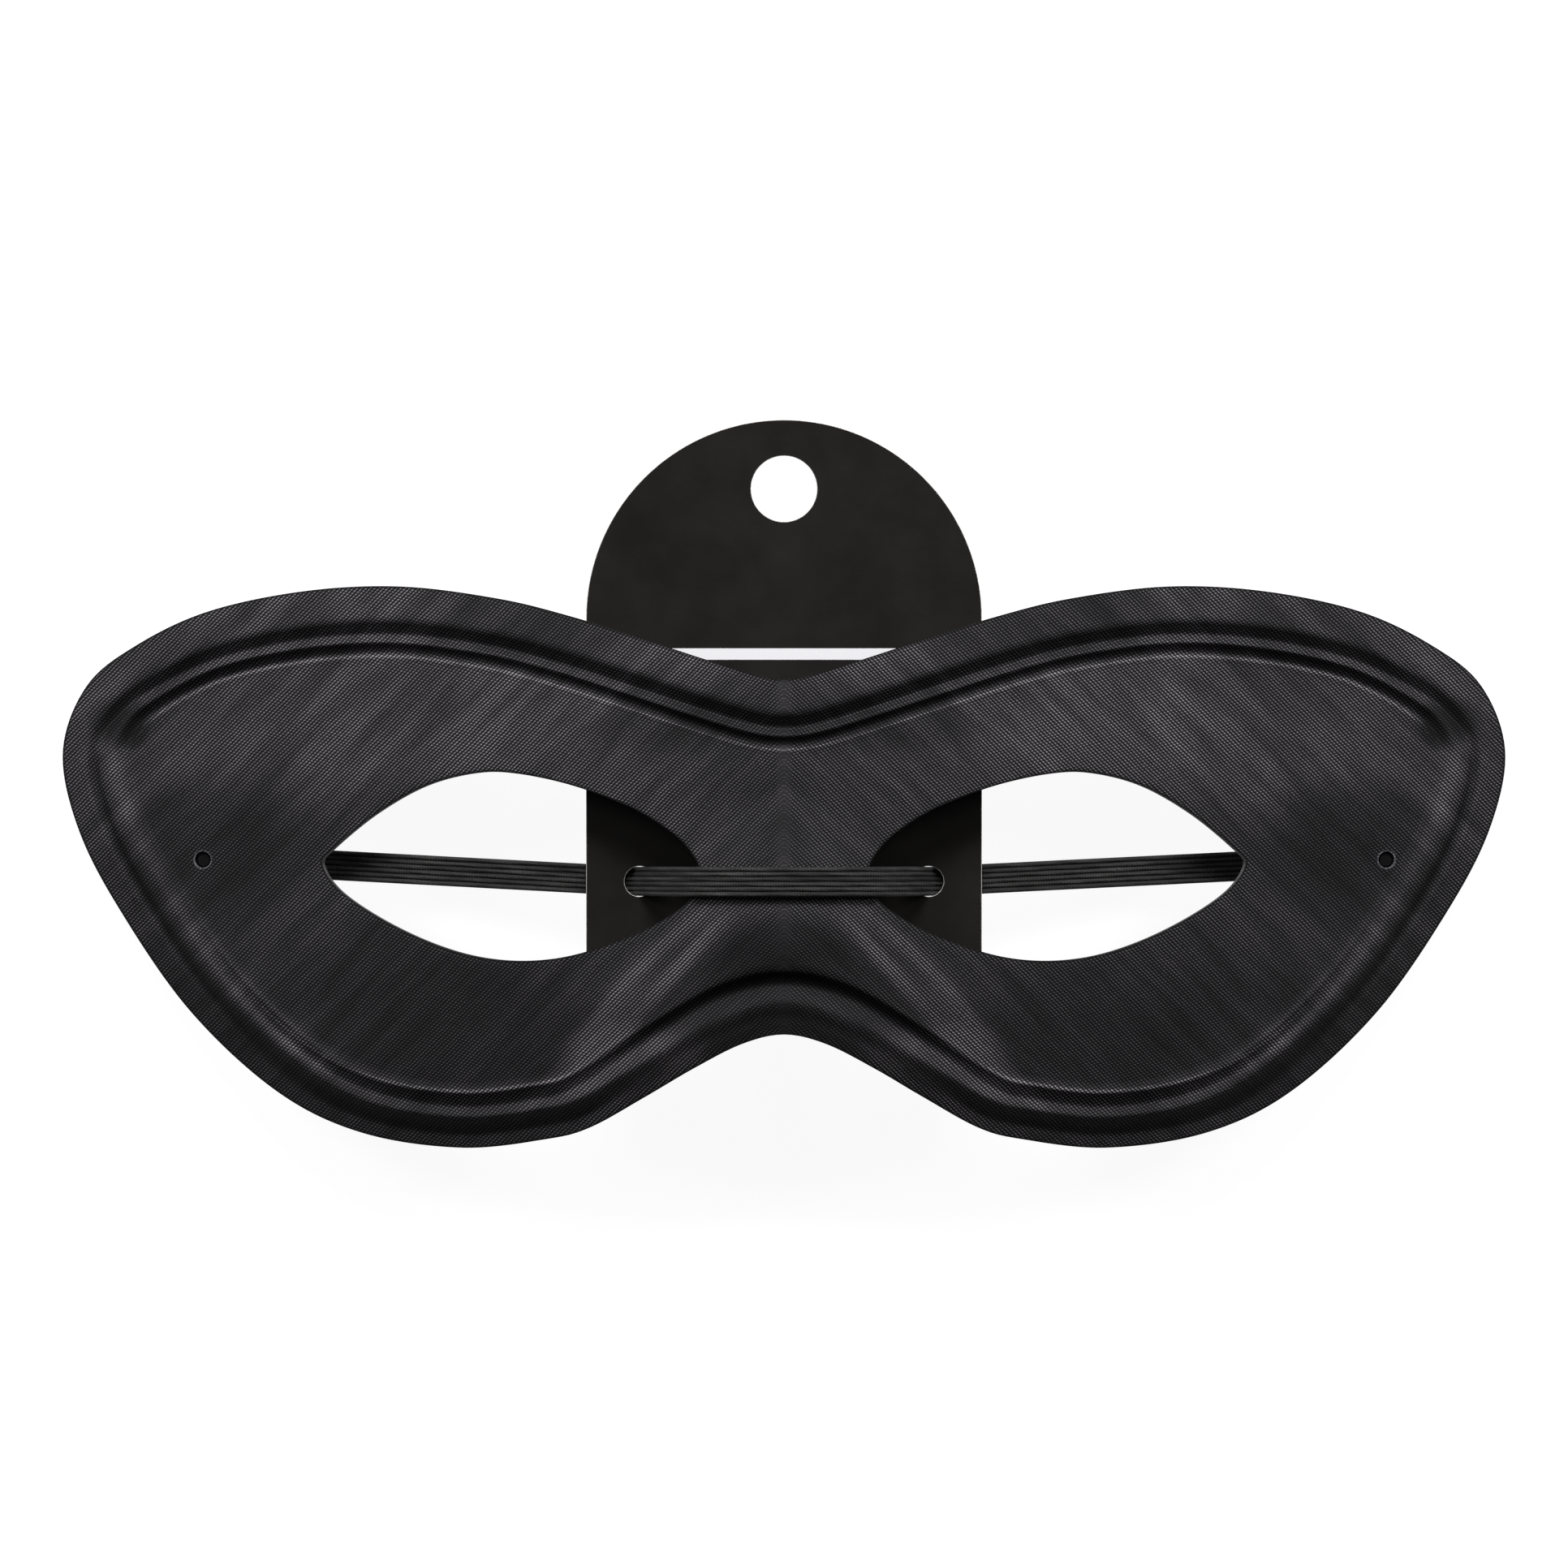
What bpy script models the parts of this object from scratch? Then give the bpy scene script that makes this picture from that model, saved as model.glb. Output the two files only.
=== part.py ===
"""Domino mask fastened to a plain hang card by its flat elastic, lying on its back.

Metres, +Z up out of the mask's front, +Y towards the brow, +X across. Heights on the
mask ("up") are counted from the bottom of its two lower lobes while it is modelled, and
the finished set is then moved so that the world origin is the bottom centre of its box.
"""
import math

import bmesh
import bpy
from mathutils import Matrix, Vector
from mathutils.bvhtree import BVHTree

# Mask blank
MASK_WIDTH = 0.229
MASK_HEIGHT = 0.0888
WALL = 0.0013

# Curve of the mask round the face
BOW_HEIGHT = 0.021
BOW_REACH = 0.104
TEMPLE_ROUNDING = 0.003
BROW_TO_CHEEK_DOME = 0.0045
DOME_HALF_SPAN = 0.045
NOSE_HEIGHT = 0.0058
NOSE_START_ABOVE_EYES = 0.0120
NOSE_FULL_BELOW_EYES = 0.0105
NOSE_FOOT_BELOW_EYES = 0.0275
NOSE_TOP_HALF_WIDTH = 0.009
NOSE_FOOT_HALF_WIDTH = 0.026

# Pressed band along the edge
BAND_WIDTH = 0.0114
BEAD_HEIGHT = 0.0016
PANEL_RISE = 0.0011
TEMPLE_RECESS = 0.0012
TEMPLE_RECESS_INSET = 0.0265
TEMPLE_RECESS_DROP = 0.0175
TEMPLE_RECESS_WIDTH = 0.0263
TEMPLE_RECESS_HEIGHT = 0.0142
PIN_DIMPLE = 0.0008
PIN_DIMPLE_RADIUS = 0.0114

# Eye holes
EYE_WIDTH = 0.0596
EYE_HEIGHT = 0.0298
EYE_SPACING = 0.0864
EYE_LINE_UP = 0.0449

# Elastic and its hidden pins
ELASTIC_WIDTH = 0.0047
ELASTIC_THICKNESS = 0.0009
ELASTIC_TAIL = 0.0035
ELASTIC_BEND_REACH = 0.0014
SLOT_FOLD = 0.72
PIN_UP = 0.0455
PIN_INSET_LEFT = 0.0224
PIN_INSET_RIGHT = 0.0190
PIN_DIAMETER = 0.0020
PIN_HEAD_DIAMETER = 0.0050
PIN_HEAD_THICKNESS = 0.0006
PIN_RECESS = 0.0005

# Hang card
CARD_WIDTH = 0.0625
CARD_LENGTH = 0.0928
CARD_THICKNESS = 0.0005
CARD_TOP_UP = 0.1150
HANG_HOLE_DIAMETER = 0.0104
HANG_HOLE_DROP = 0.0109
CARD_SLOT_SPACING = 0.0456
CARD_SLOT_UP = 0.0421

# Fits
CLEARANCE = 0.0003

# Outline of one half of the blank, from the middle of the brow round to the middle of the
# nose arch: across as a share of half the width, up as a share of the height, and band,
# which is 0 where the edge is pressed as on the brow, 1 on the cheek and 2 at the nose.
OUTLINE = (
    # across, up, band
    (0.000, 0.833, 0.0),
    (0.036, 0.840, 0.0),
    (0.107, 0.868, 0.0),
    (0.192, 0.904, 0.0),
    (0.293, 0.945, 0.0),
    (0.394, 0.977, 0.0),
    (0.529, 0.999, 0.0),
    (0.664, 0.991, 0.0),
    (0.798, 0.955, 0.1),
    (0.899, 0.894, 0.4),
    (0.967, 0.822, 0.7),
    (1.000, 0.706, 1.0),
    (0.979, 0.569, 1.0),
    (0.922, 0.425, 1.0),
    (0.823, 0.243, 1.0),
    (0.701, 0.099, 1.0),
    (0.583, 0.026, 1.0),
    (0.445, 0.000, 1.0),
    (0.327, 0.016, 1.1),
    (0.267, 0.037, 1.2),
    (0.192, 0.091, 1.4),
    (0.125, 0.142, 1.7),
    (0.058, 0.186, 2.0),
    (0.000, 0.203, 2.0),
)

# Rows of the pressed band, from the cut edge to the smooth panel: how far each row lies
# in from the edge, as a share of the band's width, and how high it stands, as a share of
# the bead's height, for the brow, the cheek and the nose; panel is how far the row has
# taken on the panel's own rise and hollows.
BAND_ROWS = (
    # brow in, cheek in, nose in, brow high, cheek high, nose high, panel
    (0.000, 0.000, 0.000, 0.00, 0.00, -1.40, 0.0),
    (0.260, 0.150, 0.080, 0.08, 0.02, -0.80, 0.0),
    (0.390, 0.230, 0.150, -0.12, -0.20, -0.30, 0.0),
    (0.530, 0.350, 0.220, -0.65, -0.65, 0.25, 0.0),
    (0.630, 0.480, 0.310, 0.25, 0.35, 0.70, 0.1),
    (0.730, 0.640, 0.430, 0.75, 0.95, 0.95, 0.3),
    (0.820, 0.750, 0.550, 0.45, 0.60, 0.40, 0.6),
    (0.890, 0.830, 0.690, -0.20, -0.05, -0.70, 0.9),
    (1.000, 0.940, 0.880, 0.00, 0.00, -0.25, 1.0),
)

# Outline of an eye hole, from its outer corner over the top to its inner corner and back
# below: across as a share of its width, up as a share of its height.
EYE_OUTLINE = (
    # across, up
    (0.000, 0.000),
    (0.030, 0.080),
    (0.144, 0.265),
    (0.274, 0.412),
    (0.403, 0.480),
    (0.510, 0.480),
    (0.662, 0.416),
    (0.821, 0.297),
    (0.930, 0.162),
    (0.982, 0.052),
    (1.000, -0.030),
    (0.992, -0.125),
    (0.966, -0.211),
    (0.884, -0.319),
    (0.793, -0.401),
    (0.662, -0.485),
    (0.532, -0.515),
    (0.403, -0.489),
    (0.274, -0.407),
    (0.144, -0.278),
    (0.043, -0.136),
)

# Shapes without a size of their own: how squarely the nose stands up, how much more than
# its own gap the elastic needs over the sloping bridge, and how far up from the card
# towards the bridge it is flat again.
NOSE_SQUARENESS = 2.4
BRIDGE_SLOPE_ALLOWANCE = 1.35
FLAT_AGAIN = 0.25
ROUNDING_LIMIT = 0.45

# Steps of the curves
EDGE_STEPS = 64
NOSE_STEPS = 12
PANEL_STRIPS = 5
ELASTIC_BEND_STEPS = 2
BRIDGE_STEPS = 12
ROUND_STEPS = 24


def smooth_step(value):
    """Ease from 0 to 1."""
    t = min(max(value, 0.0), 1.0)
    return t * t * (3.0 - 2.0 * t)


def spline(points, closed, steps):
    """Points of a Catmull-Rom curve through tuples, with the given steps in each span."""
    count = len(points)
    spans = count if closed else count - 1
    curve = []
    for span in range(spans):
        if closed:
            near = [points[(span + k) % count] for k in (-1, 0, 1, 2)]
        else:
            near = [points[min(max(span + k, 0), count - 1)] for k in (-1, 0, 1, 2)]
        for step in range(steps):
            t = step / steps
            curve.append(tuple(
                0.5 * (2.0 * b + (c - a) * t + (2.0 * a - 5.0 * b + 4.0 * c - d) * t * t
                       + (3.0 * b - a - 3.0 * c + d) * t ** 3)
                for a, b, c, d in zip(*near)))
    if not closed:
        curve.append(tuple(points[-1]))
    return curve


def evenly(curve, steps):
    """The points that cut a curve into equal lengths, measured in its first two columns."""
    run = [0.0]
    for a, b in zip(curve, curve[1:]):
        run.append(run[-1] + math.hypot(b[0] - a[0], b[1] - a[1]))
    points = []
    span = 0
    for step in range(steps + 1):
        target = run[-1] * step / steps
        while span < len(curve) - 2 and run[span + 1] < target:
            span += 1
        t = (target - run[span]) / (run[span + 1] - run[span])
        points.append(tuple(a + (b - a) * t for a, b in zip(curve[span], curve[span + 1])))
    return points


def half_outline():
    """The cut edge of the right half, as (x, y, band) from the brow to the nose arch."""
    mirrored = [(-OUTLINE[1][0],) + OUTLINE[1][1:]] + list(OUTLINE)
    mirrored.append((-OUTLINE[-2][0],) + OUTLINE[-2][1:])
    shares = spline(mirrored, False, 8)[8:-8]
    curve = [(a * MASK_WIDTH / 2.0, u * MASK_HEIGHT, band) for a, u, band in shares]
    return evenly(curve, EDGE_STEPS)


def form(x, y):
    """Height of the mask's smooth main form: bow, brow-to-cheek dome and nose."""
    fall = BOW_HEIGHT * (1.0 - (x / BOW_REACH) ** 2)
    bow = 0.5 * (fall + math.hypot(fall, TEMPLE_ROUNDING))
    lean = (y - EYE_LINE_UP) / DOME_HALF_SPAN
    dome = -BROW_TO_CHEEK_DOME * lean * lean * bow / BOW_HEIGHT
    down = EYE_LINE_UP + NOSE_START_ABOVE_EYES - y
    rise = smooth_step(down / (NOSE_START_ABOVE_EYES + NOSE_FULL_BELOW_EYES))
    spread = smooth_step(down / (NOSE_START_ABOVE_EYES + NOSE_FOOT_BELOW_EYES))
    half_width = NOSE_TOP_HALF_WIDTH + (NOSE_FOOT_HALF_WIDTH - NOSE_TOP_HALF_WIDTH) * spread
    nose = NOSE_HEIGHT * rise * math.exp(-(abs(x) / half_width) ** NOSE_SQUARENESS)
    return bow + dome + nose


def hollows(x, y):
    """Depth of the panel's own hollows: at the upper temple and round the pin hole."""
    temple_x = (abs(x) - MASK_WIDTH / 2.0 + TEMPLE_RECESS_INSET) / TEMPLE_RECESS_WIDTH
    temple_y = (y - MASK_HEIGHT + TEMPLE_RECESS_DROP) / TEMPLE_RECESS_HEIGHT
    recess = TEMPLE_RECESS * math.exp(-temple_x ** 2 - temple_y ** 2)
    pin_x = MASK_WIDTH / 2.0 - (PIN_INSET_LEFT + PIN_INSET_RIGHT) / 2.0
    dimple_x = pin_x - PIN_DIMPLE_RADIUS / 2.0
    away = math.hypot(abs(x) - dimple_x, y - PIN_UP) / PIN_DIMPLE_RADIUS
    return recess + PIN_DIMPLE * math.exp(-away ** 2)


def front(x, y, high, panel):
    """A point of the mask's front."""
    own = PANEL_RISE - hollows(x, y)
    return Vector((x, y, WALL + form(x, y) + high + panel * own))


def blend(band, brow, cheek, nose):
    """A value between the brow's, the cheek's and the nose's."""
    if band < 1.0:
        return brow + (cheek - brow) * band
    return cheek + (nose - cheek) * (band - 1.0)


def band_row(edge, row):
    """One row of the pressed band, as points of the front."""
    brow_in, cheek_in, nose_in, brow_high, cheek_high, nose_high, panel = row
    points = []
    for i, (x, y, band) in enumerate(edge):
        before = edge[max(i - 1, 0)]
        after = edge[min(i + 1, len(edge) - 1)]
        along = Vector((after[0] - before[0], after[1] - before[1])).normalized()
        inset = BAND_WIDTH * blend(band, brow_in, cheek_in, nose_in)
        high = BEAD_HEIGHT * blend(band, brow_high, cheek_high, nose_high)
        at_x = x + along.y * inset
        if i in (0, len(edge) - 1):
            at_x = 0.0
            inset = math.copysign(inset, -1.0 if i == 0 else 1.0)
            at_y = y + inset
        else:
            at_y = y - along.x * inset
        points.append(front(at_x, at_y, high, panel))
    return points


def eye_points(outer):
    """The eye hole's edge, one point straight inwards from each point of the panel's edge."""
    middle = Vector((EYE_SPACING / 2.0, EYE_LINE_UP))
    curve = spline(EYE_OUTLINE, True, 6)
    places = [Vector((middle.x + (0.5 - a) * EYE_WIDTH, middle.y + u * EYE_HEIGHT))
              for a, u in curve]

    def turn(point):
        return math.atan2((point.y - middle.y) / EYE_HEIGHT, (point.x - middle.x) / EYE_WIDTH)

    ring = sorted(places, key=turn)
    turns = [turn(place) for place in ring]
    ring = [ring[-1]] + ring + [ring[0]]
    turns = [turns[-1] - 2.0 * math.pi] + turns + [turns[0] + 2.0 * math.pi]
    points = []
    for point in outer:
        wanted = turn(point)
        k = next(i for i in range(1, len(turns)) if turns[i] >= wanted)
        t = (wanted - turns[k - 1]) / (turns[k] - turns[k - 1])
        points.append(ring[k - 1].lerp(ring[k], t))
    return points


def extrude_row(bm, row, places, closed):
    """Extrude a row of vertices and put the new row, in the same order, at its places."""
    pairs = list(zip(row, row[1:]))
    if closed:
        pairs.append((row[-1], row[0]))
    edges = [bm.edges.get(pair) for pair in pairs]
    made = bmesh.ops.extrude_edge_only(bm, edges=edges)["geom"]
    by_place = {tuple(item.co): item for item in made if isinstance(item, bmesh.types.BMVert)}
    new_row = [by_place[tuple(vertex.co)] for vertex in row]
    for vertex, place in zip(new_row, places):
        vertex.co = place
    return new_row


def first_row(bm, places, closed):
    """A first row of vertices, joined by edges."""
    row = [bm.verts.new(place) for place in places]
    for a, b in zip(row, row[1:]):
        bm.edges.new((a, b))
    if closed:
        bm.edges.new((row[-1], row[0]))
    return row


def material(name, colour, roughness):
    """A plain surface in one colour."""
    surface = bpy.data.materials.new(name)
    surface.use_nodes = True
    shader = surface.node_tree.nodes["Principled BSDF"]
    shader.inputs["Base Color"].default_value = (*colour, 1.0)
    shader.inputs["Roughness"].default_value = roughness
    shader.inputs["Metallic"].default_value = 0.0
    return surface


def add_object(name, bm, surface, root):
    """Turn a bmesh into a named object under the root."""
    mesh = bpy.data.meshes.new(name)
    bm.to_mesh(mesh)
    bm.free()
    mesh.shade_smooth()
    mesh.set_sharp_from_angle(angle=math.radians(40.0))
    item = bpy.data.objects.new(name, mesh)
    bpy.context.collection.objects.link(item)
    item.parent = root
    if surface:
        mesh.materials.append(surface)
    return item


def add_cutter(name, diameter, length, place, root):
    """A round cutter along its own Z axis, left out of the finished set."""
    bm = bmesh.new()
    bmesh.ops.create_cone(bm, cap_ends=True, segments=ROUND_STEPS, radius1=diameter / 2.0,
                          radius2=diameter / 2.0, depth=length, matrix=place)
    cutter = add_object(name, bm, None, root)
    cutter.hide_render = True
    cutter.display_type = "WIRE"
    return cutter


def cut(item, cutter):
    """Take a cutter's shape out of an object."""
    modifier = item.modifiers.new(cutter.name, "BOOLEAN")
    modifier.operation = "DIFFERENCE"
    modifier.solver = "EXACT"
    modifier.object = cutter


def evaluated(item):
    """A bmesh of an object as its modifiers leave it."""
    bpy.context.view_layer.update()
    graph = bpy.context.evaluated_depsgraph_get()
    bm = bmesh.new()
    bm.from_object(item, graph)
    return bm


def make_mask_shell(root):
    """The pressed shell: band rows along the edge, then the panel in to the eye holes."""
    bm = bmesh.new()
    edge = half_outline()
    rows = [band_row(edge, row) for row in BAND_ROWS]
    row = first_row(bm, rows[0], False)
    for places in rows[1:]:
        row = extrude_row(bm, row, places, False)
    low = row[-1].co.y
    high = row[0].co.y
    middle_line = []
    for step in range(1, NOSE_STEPS):
        y = low + (high - low) * step / NOSE_STEPS
        middle_line.append(bm.verts.new(front(0.0, y, 0.0, 1.0)))
    loop = row + middle_line
    for a, b in zip(loop[len(row) - 1:], loop[len(row):] + [loop[0]]):
        bm.edges.new((a, b))
    outer = [vertex.co.copy() for vertex in loop]
    lift = [point.z - front(point.x, point.y, 0.0, 1.0).z for point in outer]
    inner = eye_points(outer)
    for strip in range(1, PANEL_STRIPS + 1):
        t = strip / PANEL_STRIPS
        places = []
        for start, end, extra in zip(outer, inner, lift):
            x = start.x + (end.x - start.x) * t
            y = start.y + (end.y - start.y) * t
            places.append(front(x, y, extra * (1.0 - t) ** 2, 1.0))
        loop = extrude_row(bm, loop, places, True)
    bmesh.ops.recalc_face_normals(bm, faces=bm.faces)
    if sum(face.normal.z * face.calc_area() for face in bm.faces) < 0.0:
        bmesh.ops.reverse_faces(bm, faces=bm.faces)
    shell = add_object("mask_shell", bm, material("black_cloth", (0.022, 0.022, 0.026), 0.75), root)
    mirror = shell.modifiers.new("other_half", "MIRROR")
    mirror.use_clip = True
    mirror.merge_threshold = 0.0001
    wall = shell.modifiers.new("wall", "SOLIDIFY")
    wall.thickness = WALL
    wall.offset = -1.0
    return shell


def pin_frame(surface, side, inset):
    """Where a pin sits: its origin on the mask's front, its Z axis square to the front."""
    x = side * (MASK_WIDTH / 2.0 - inset)
    hit, normal, _, _ = surface.ray_cast(Vector((x, PIN_UP, 1.0)), Vector((0.0, 0.0, -1.0)))
    inwards = Vector((-side, 0.0, 0.0))
    along = (inwards - normal * inwards.dot(normal)).normalized()
    across = normal.cross(along)
    place = Matrix((along, across, normal)).transposed().to_4x4()
    place.translation = hit
    return place


def make_pin(name, place, surface, root):
    """A post recessed in the mask's hole, with a flat head behind the elastic's end."""
    seat = -(WALL + CLEARANCE + ELASTIC_THICKNESS + CLEARANCE)
    profile = (
        (0.0, seat - PIN_HEAD_THICKNESS),
        (PIN_HEAD_DIAMETER / 2.0, seat - PIN_HEAD_THICKNESS),
        (PIN_HEAD_DIAMETER / 2.0, seat),
        (PIN_DIAMETER / 2.0, seat),
        (PIN_DIAMETER / 2.0, -PIN_RECESS),
        (0.0, -PIN_RECESS),
    )
    bm = bmesh.new()
    row = first_row(bm, [Vector((r, 0.0, z)) for r, z in profile], False)
    bmesh.ops.spin(bm, geom=row + bm.edges[:], axis=(0.0, 0.0, 1.0), cent=(0.0, 0.0, 0.0),
                   angle=2.0 * math.pi, steps=ROUND_STEPS, use_merge=True)
    bmesh.ops.remove_doubles(bm, verts=bm.verts, dist=0.00001)
    bmesh.ops.recalc_face_normals(bm, faces=bm.faces)
    bmesh.ops.transform(bm, matrix=place, verts=bm.verts)
    return add_object(name, bm, surface, root)


def card_front(shell_mesh):
    """The height at which the card's front lies just behind the mask."""
    reach = CARD_WIDTH / 2.0 + CLEARANCE
    low = CARD_TOP_UP - CARD_LENGTH
    behind = [vertex.co.z for vertex in shell_mesh.verts
              if abs(vertex.co.x) < reach + BAND_WIDTH / 3.0 and vertex.co.y > low - CLEARANCE]
    return min(behind) - CLEARANCE


def make_card(level, root):
    """The hang card: a round-topped plate with its hang hole and two holes for the elastic."""
    radius = CARD_WIDTH / 2.0
    centre_up = CARD_TOP_UP - radius
    low = CARD_TOP_UP - CARD_LENGTH
    places = [Vector((-radius, low, 0.0)), Vector((radius, low, 0.0))]
    for step in range(2 * ROUND_STEPS + 1):
        angle = math.pi * step / (2 * ROUND_STEPS)
        places.append(Vector((radius * math.cos(angle), centre_up + radius * math.sin(angle), 0.0)))
    bm = bmesh.new()
    row = first_row(bm, places, True)
    face = bmesh.ops.contextual_create(bm, geom=row)["faces"][0]
    raised = bmesh.ops.extrude_face_region(bm, geom=[face])["geom"]
    top = [item for item in raised if isinstance(item, bmesh.types.BMVert)]
    bmesh.ops.translate(bm, verts=top, vec=(0.0, 0.0, CARD_THICKNESS))
    bmesh.ops.recalc_face_normals(bm, faces=bm.faces)
    bmesh.ops.translate(bm, verts=bm.verts, vec=(0.0, 0.0, level - CARD_THICKNESS))
    card = add_object("backing_card", bm, material("card_black", (0.013, 0.011, 0.010), 0.45), root)
    middle = level - CARD_THICKNESS / 2.0
    slot = ELASTIC_WIDTH + 2.0 * CLEARANCE
    holes = (
        ("hang_hole", HANG_HOLE_DIAMETER, 0.0, CARD_TOP_UP - HANG_HOLE_DROP),
        ("slot_left", slot, -CARD_SLOT_SPACING / 2.0, CARD_SLOT_UP),
        ("slot_right", slot, CARD_SLOT_SPACING / 2.0, CARD_SLOT_UP),
    )
    for name, diameter, x, y in holes:
        place = Matrix.Translation((x, y, middle))
        cut(card, add_cutter(name, diameter, 6.0 * CARD_THICKNESS, place, root))
    return card


def over_the_nose(surface):
    """Stations of the elastic where it lies on the bridge of the mask, from left to right."""
    edge_x = EYE_SPACING / 2.0 - EYE_WIDTH / 2.0 + ELASTIC_THICKNESS
    lift = BRIDGE_SLOPE_ALLOWANCE * (CLEARANCE + ELASTIC_THICKNESS / 2.0)
    stations = []
    for step in range(BRIDGE_STEPS + 1):
        x = edge_x * (2.0 * step / BRIDGE_STEPS - 1.0)
        tops = []
        for shift in (-0.5, 0.0, 0.5):
            start = Vector((x, CARD_SLOT_UP + shift * ELASTIC_WIDTH, 1.0))
            hit = surface.ray_cast(start, Vector((0.0, 0.0, -1.0)))[0]
            if hit:
                tops.append(hit.z)
        stations.append(Vector((x, CARD_SLOT_UP, max(tops) + lift, ELASTIC_WIDTH)))
    return stations


def elastic_side(side, pin, near, level):
    """Stations of one side: the pinned end, the run behind the card, and up through its slot."""
    half = ELASTIC_THICKNESS / 2.0
    seat = WALL + CLEARANCE + half
    narrow = SLOT_FOLD * ELASTIC_WIDTH
    under = level - CARD_THICKNESS - CLEARANCE - half
    slot_x = side * (CARD_SLOT_SPACING / 2.0 + CLEARANCE)
    in_slot = Vector((slot_x, CARD_SLOT_UP, level - CARD_THICKNESS / 2.0))
    climb = near.xyz - in_slot
    below = in_slot - climb * ((in_slot.z - under) / climb.z)
    flat_from = below + Vector((side * ELASTIC_WIDTH / 2.0, 0.0, 0.0))
    held = pin @ Vector((0.0, 0.0, -seat))
    outside = (CARD_WIDTH / 2.0 - abs(slot_x)) / (abs(held.x) - abs(slot_x))
    card_edge_up = CARD_SLOT_UP + (held.y - CARD_SLOT_UP) * outside
    card_edge = Vector((side * CARD_WIDTH / 2.0, card_edge_up, under - CLEARANCE))
    places = (
        (pin @ Vector((-ELASTIC_TAIL, 0.0, -seat)), ELASTIC_WIDTH),
        (held, ELASTIC_WIDTH),
        (pin @ Vector((ELASTIC_TAIL, 0.0, -seat - CLEARANCE)), ELASTIC_WIDTH),
        (card_edge, ELASTIC_WIDTH),
        (flat_from, ELASTIC_WIDTH),
        (below, narrow),
        (in_slot, narrow),
        (in_slot + climb * FLAT_AGAIN, ELASTIC_WIDTH),
    )
    return [Vector((*place, width)) for place, width in places]


def elastic_route(surface, level, pin_left, pin_right):
    """All stations of the elastic as (x, y, z, width), from the left pin to the right pin."""
    over = over_the_nose(surface)
    left = elastic_side(-1.0, pin_left, over[0], level)
    right = elastic_side(1.0, pin_right, over[-1], level)
    return left + over + right[::-1]


def rounded(stations):
    """The stations as one curve, with each corner rounded off over the bend's reach."""
    curve = [stations[0]]
    for before, here, after in zip(stations, stations[1:], stations[2:]):
        start = here.lerp(before, min(ROUNDING_LIMIT, ELASTIC_BEND_REACH / (here - before).length))
        end = here.lerp(after, min(ROUNDING_LIMIT, ELASTIC_BEND_REACH / (here - after).length))
        for step in range(ELASTIC_BEND_STEPS + 1):
            t = step / ELASTIC_BEND_STEPS
            curve.append(start.lerp(here, t).lerp(here.lerp(end, t), t))
    curve.append(stations[-1])
    return curve


def make_elastic(route, root):
    """The flat elastic: one section with bevelled edges, extruded from station to station."""
    curve = rounded(route)
    bevel = 0.25 * ELASTIC_THICKNESS
    bm = bmesh.new()
    row = None
    for i, station in enumerate(curve):
        before = curve[max(i - 1, 0)].xyz
        after = curve[min(i + 1, len(curve) - 1)].xyz
        along = (after - before).normalized()
        across = (Vector((0.0, 1.0, 0.0)) - along * along.y).normalized()
        out = along.cross(across)
        wide = station.w / 2.0
        thick = ELASTIC_THICKNESS / 2.0
        section = (
            (wide, thick - bevel), (wide - bevel, thick), (bevel - wide, thick), (-wide, thick - bevel),
            (-wide, bevel - thick), (bevel - wide, -thick), (wide - bevel, -thick), (wide, bevel - thick),
        )
        places = [station.xyz + across * a + out * b for a, b in section]
        if row is None:
            row = first_row(bm, places, True)
            bmesh.ops.contextual_create(bm, geom=row)
        else:
            row = extrude_row(bm, row, places, True)
    bmesh.ops.contextual_create(bm, geom=row)
    bmesh.ops.recalc_face_normals(bm, faces=bm.faces)
    return add_object("elastic_band", bm, material("elastic_black", (0.020, 0.020, 0.022), 0.65), root)


def rest_on_floor(root, items):
    """Move the root so that the world origin is the bottom centre of the set's box."""
    corners = []
    for item in items:
        bm = evaluated(item)
        corners.extend(vertex.co.copy() for vertex in bm.verts)
        bm.free()
    low = Vector([min(corner[k] for corner in corners) for k in range(3)])
    high = Vector([max(corner[k] for corner in corners) for k in range(3)])
    middle = (low + high) / 2.0
    root.location = (-middle.x, -middle.y, -low.z)
    bpy.context.view_layer.update()


def main():
    for item in list(bpy.data.objects):
        bpy.data.objects.remove(item, do_unlink=True)
    root = bpy.data.objects.new("mask_on_card", None)
    bpy.context.collection.objects.link(root)

    shell = make_mask_shell(root)
    shell_mesh = evaluated(shell)
    surface = BVHTree.FromBMesh(shell_mesh)
    level = card_front(shell_mesh)
    shell_mesh.free()

    pin_left = pin_frame(surface, -1.0, PIN_INSET_LEFT)
    pin_right = pin_frame(surface, 1.0, PIN_INSET_RIGHT)
    elastic = make_elastic(elastic_route(surface, level, pin_left, pin_right), root)
    card = make_card(level, root)
    items = [shell, elastic, card]

    hole = PIN_DIAMETER + 2.0 * CLEARANCE
    depth = 4.0 * (WALL + ELASTIC_THICKNESS)
    pin_black = material("pin_black", (0.010, 0.010, 0.010), 0.40)
    for side, place in (("left", pin_left), ("right", pin_right)):
        items.append(make_pin("strap_pin_" + side, place, pin_black, root))
        cutter = add_cutter("pin_hole_" + side, hole, depth, place, root)
        cut(shell, cutter)
        cut(elastic, cutter)

    rest_on_floor(root, items)


main()
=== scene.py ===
import math

import bmesh
import bpy
from mathutils import Matrix, Vector
from mathutils.bvhtree import BVHTree


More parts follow.
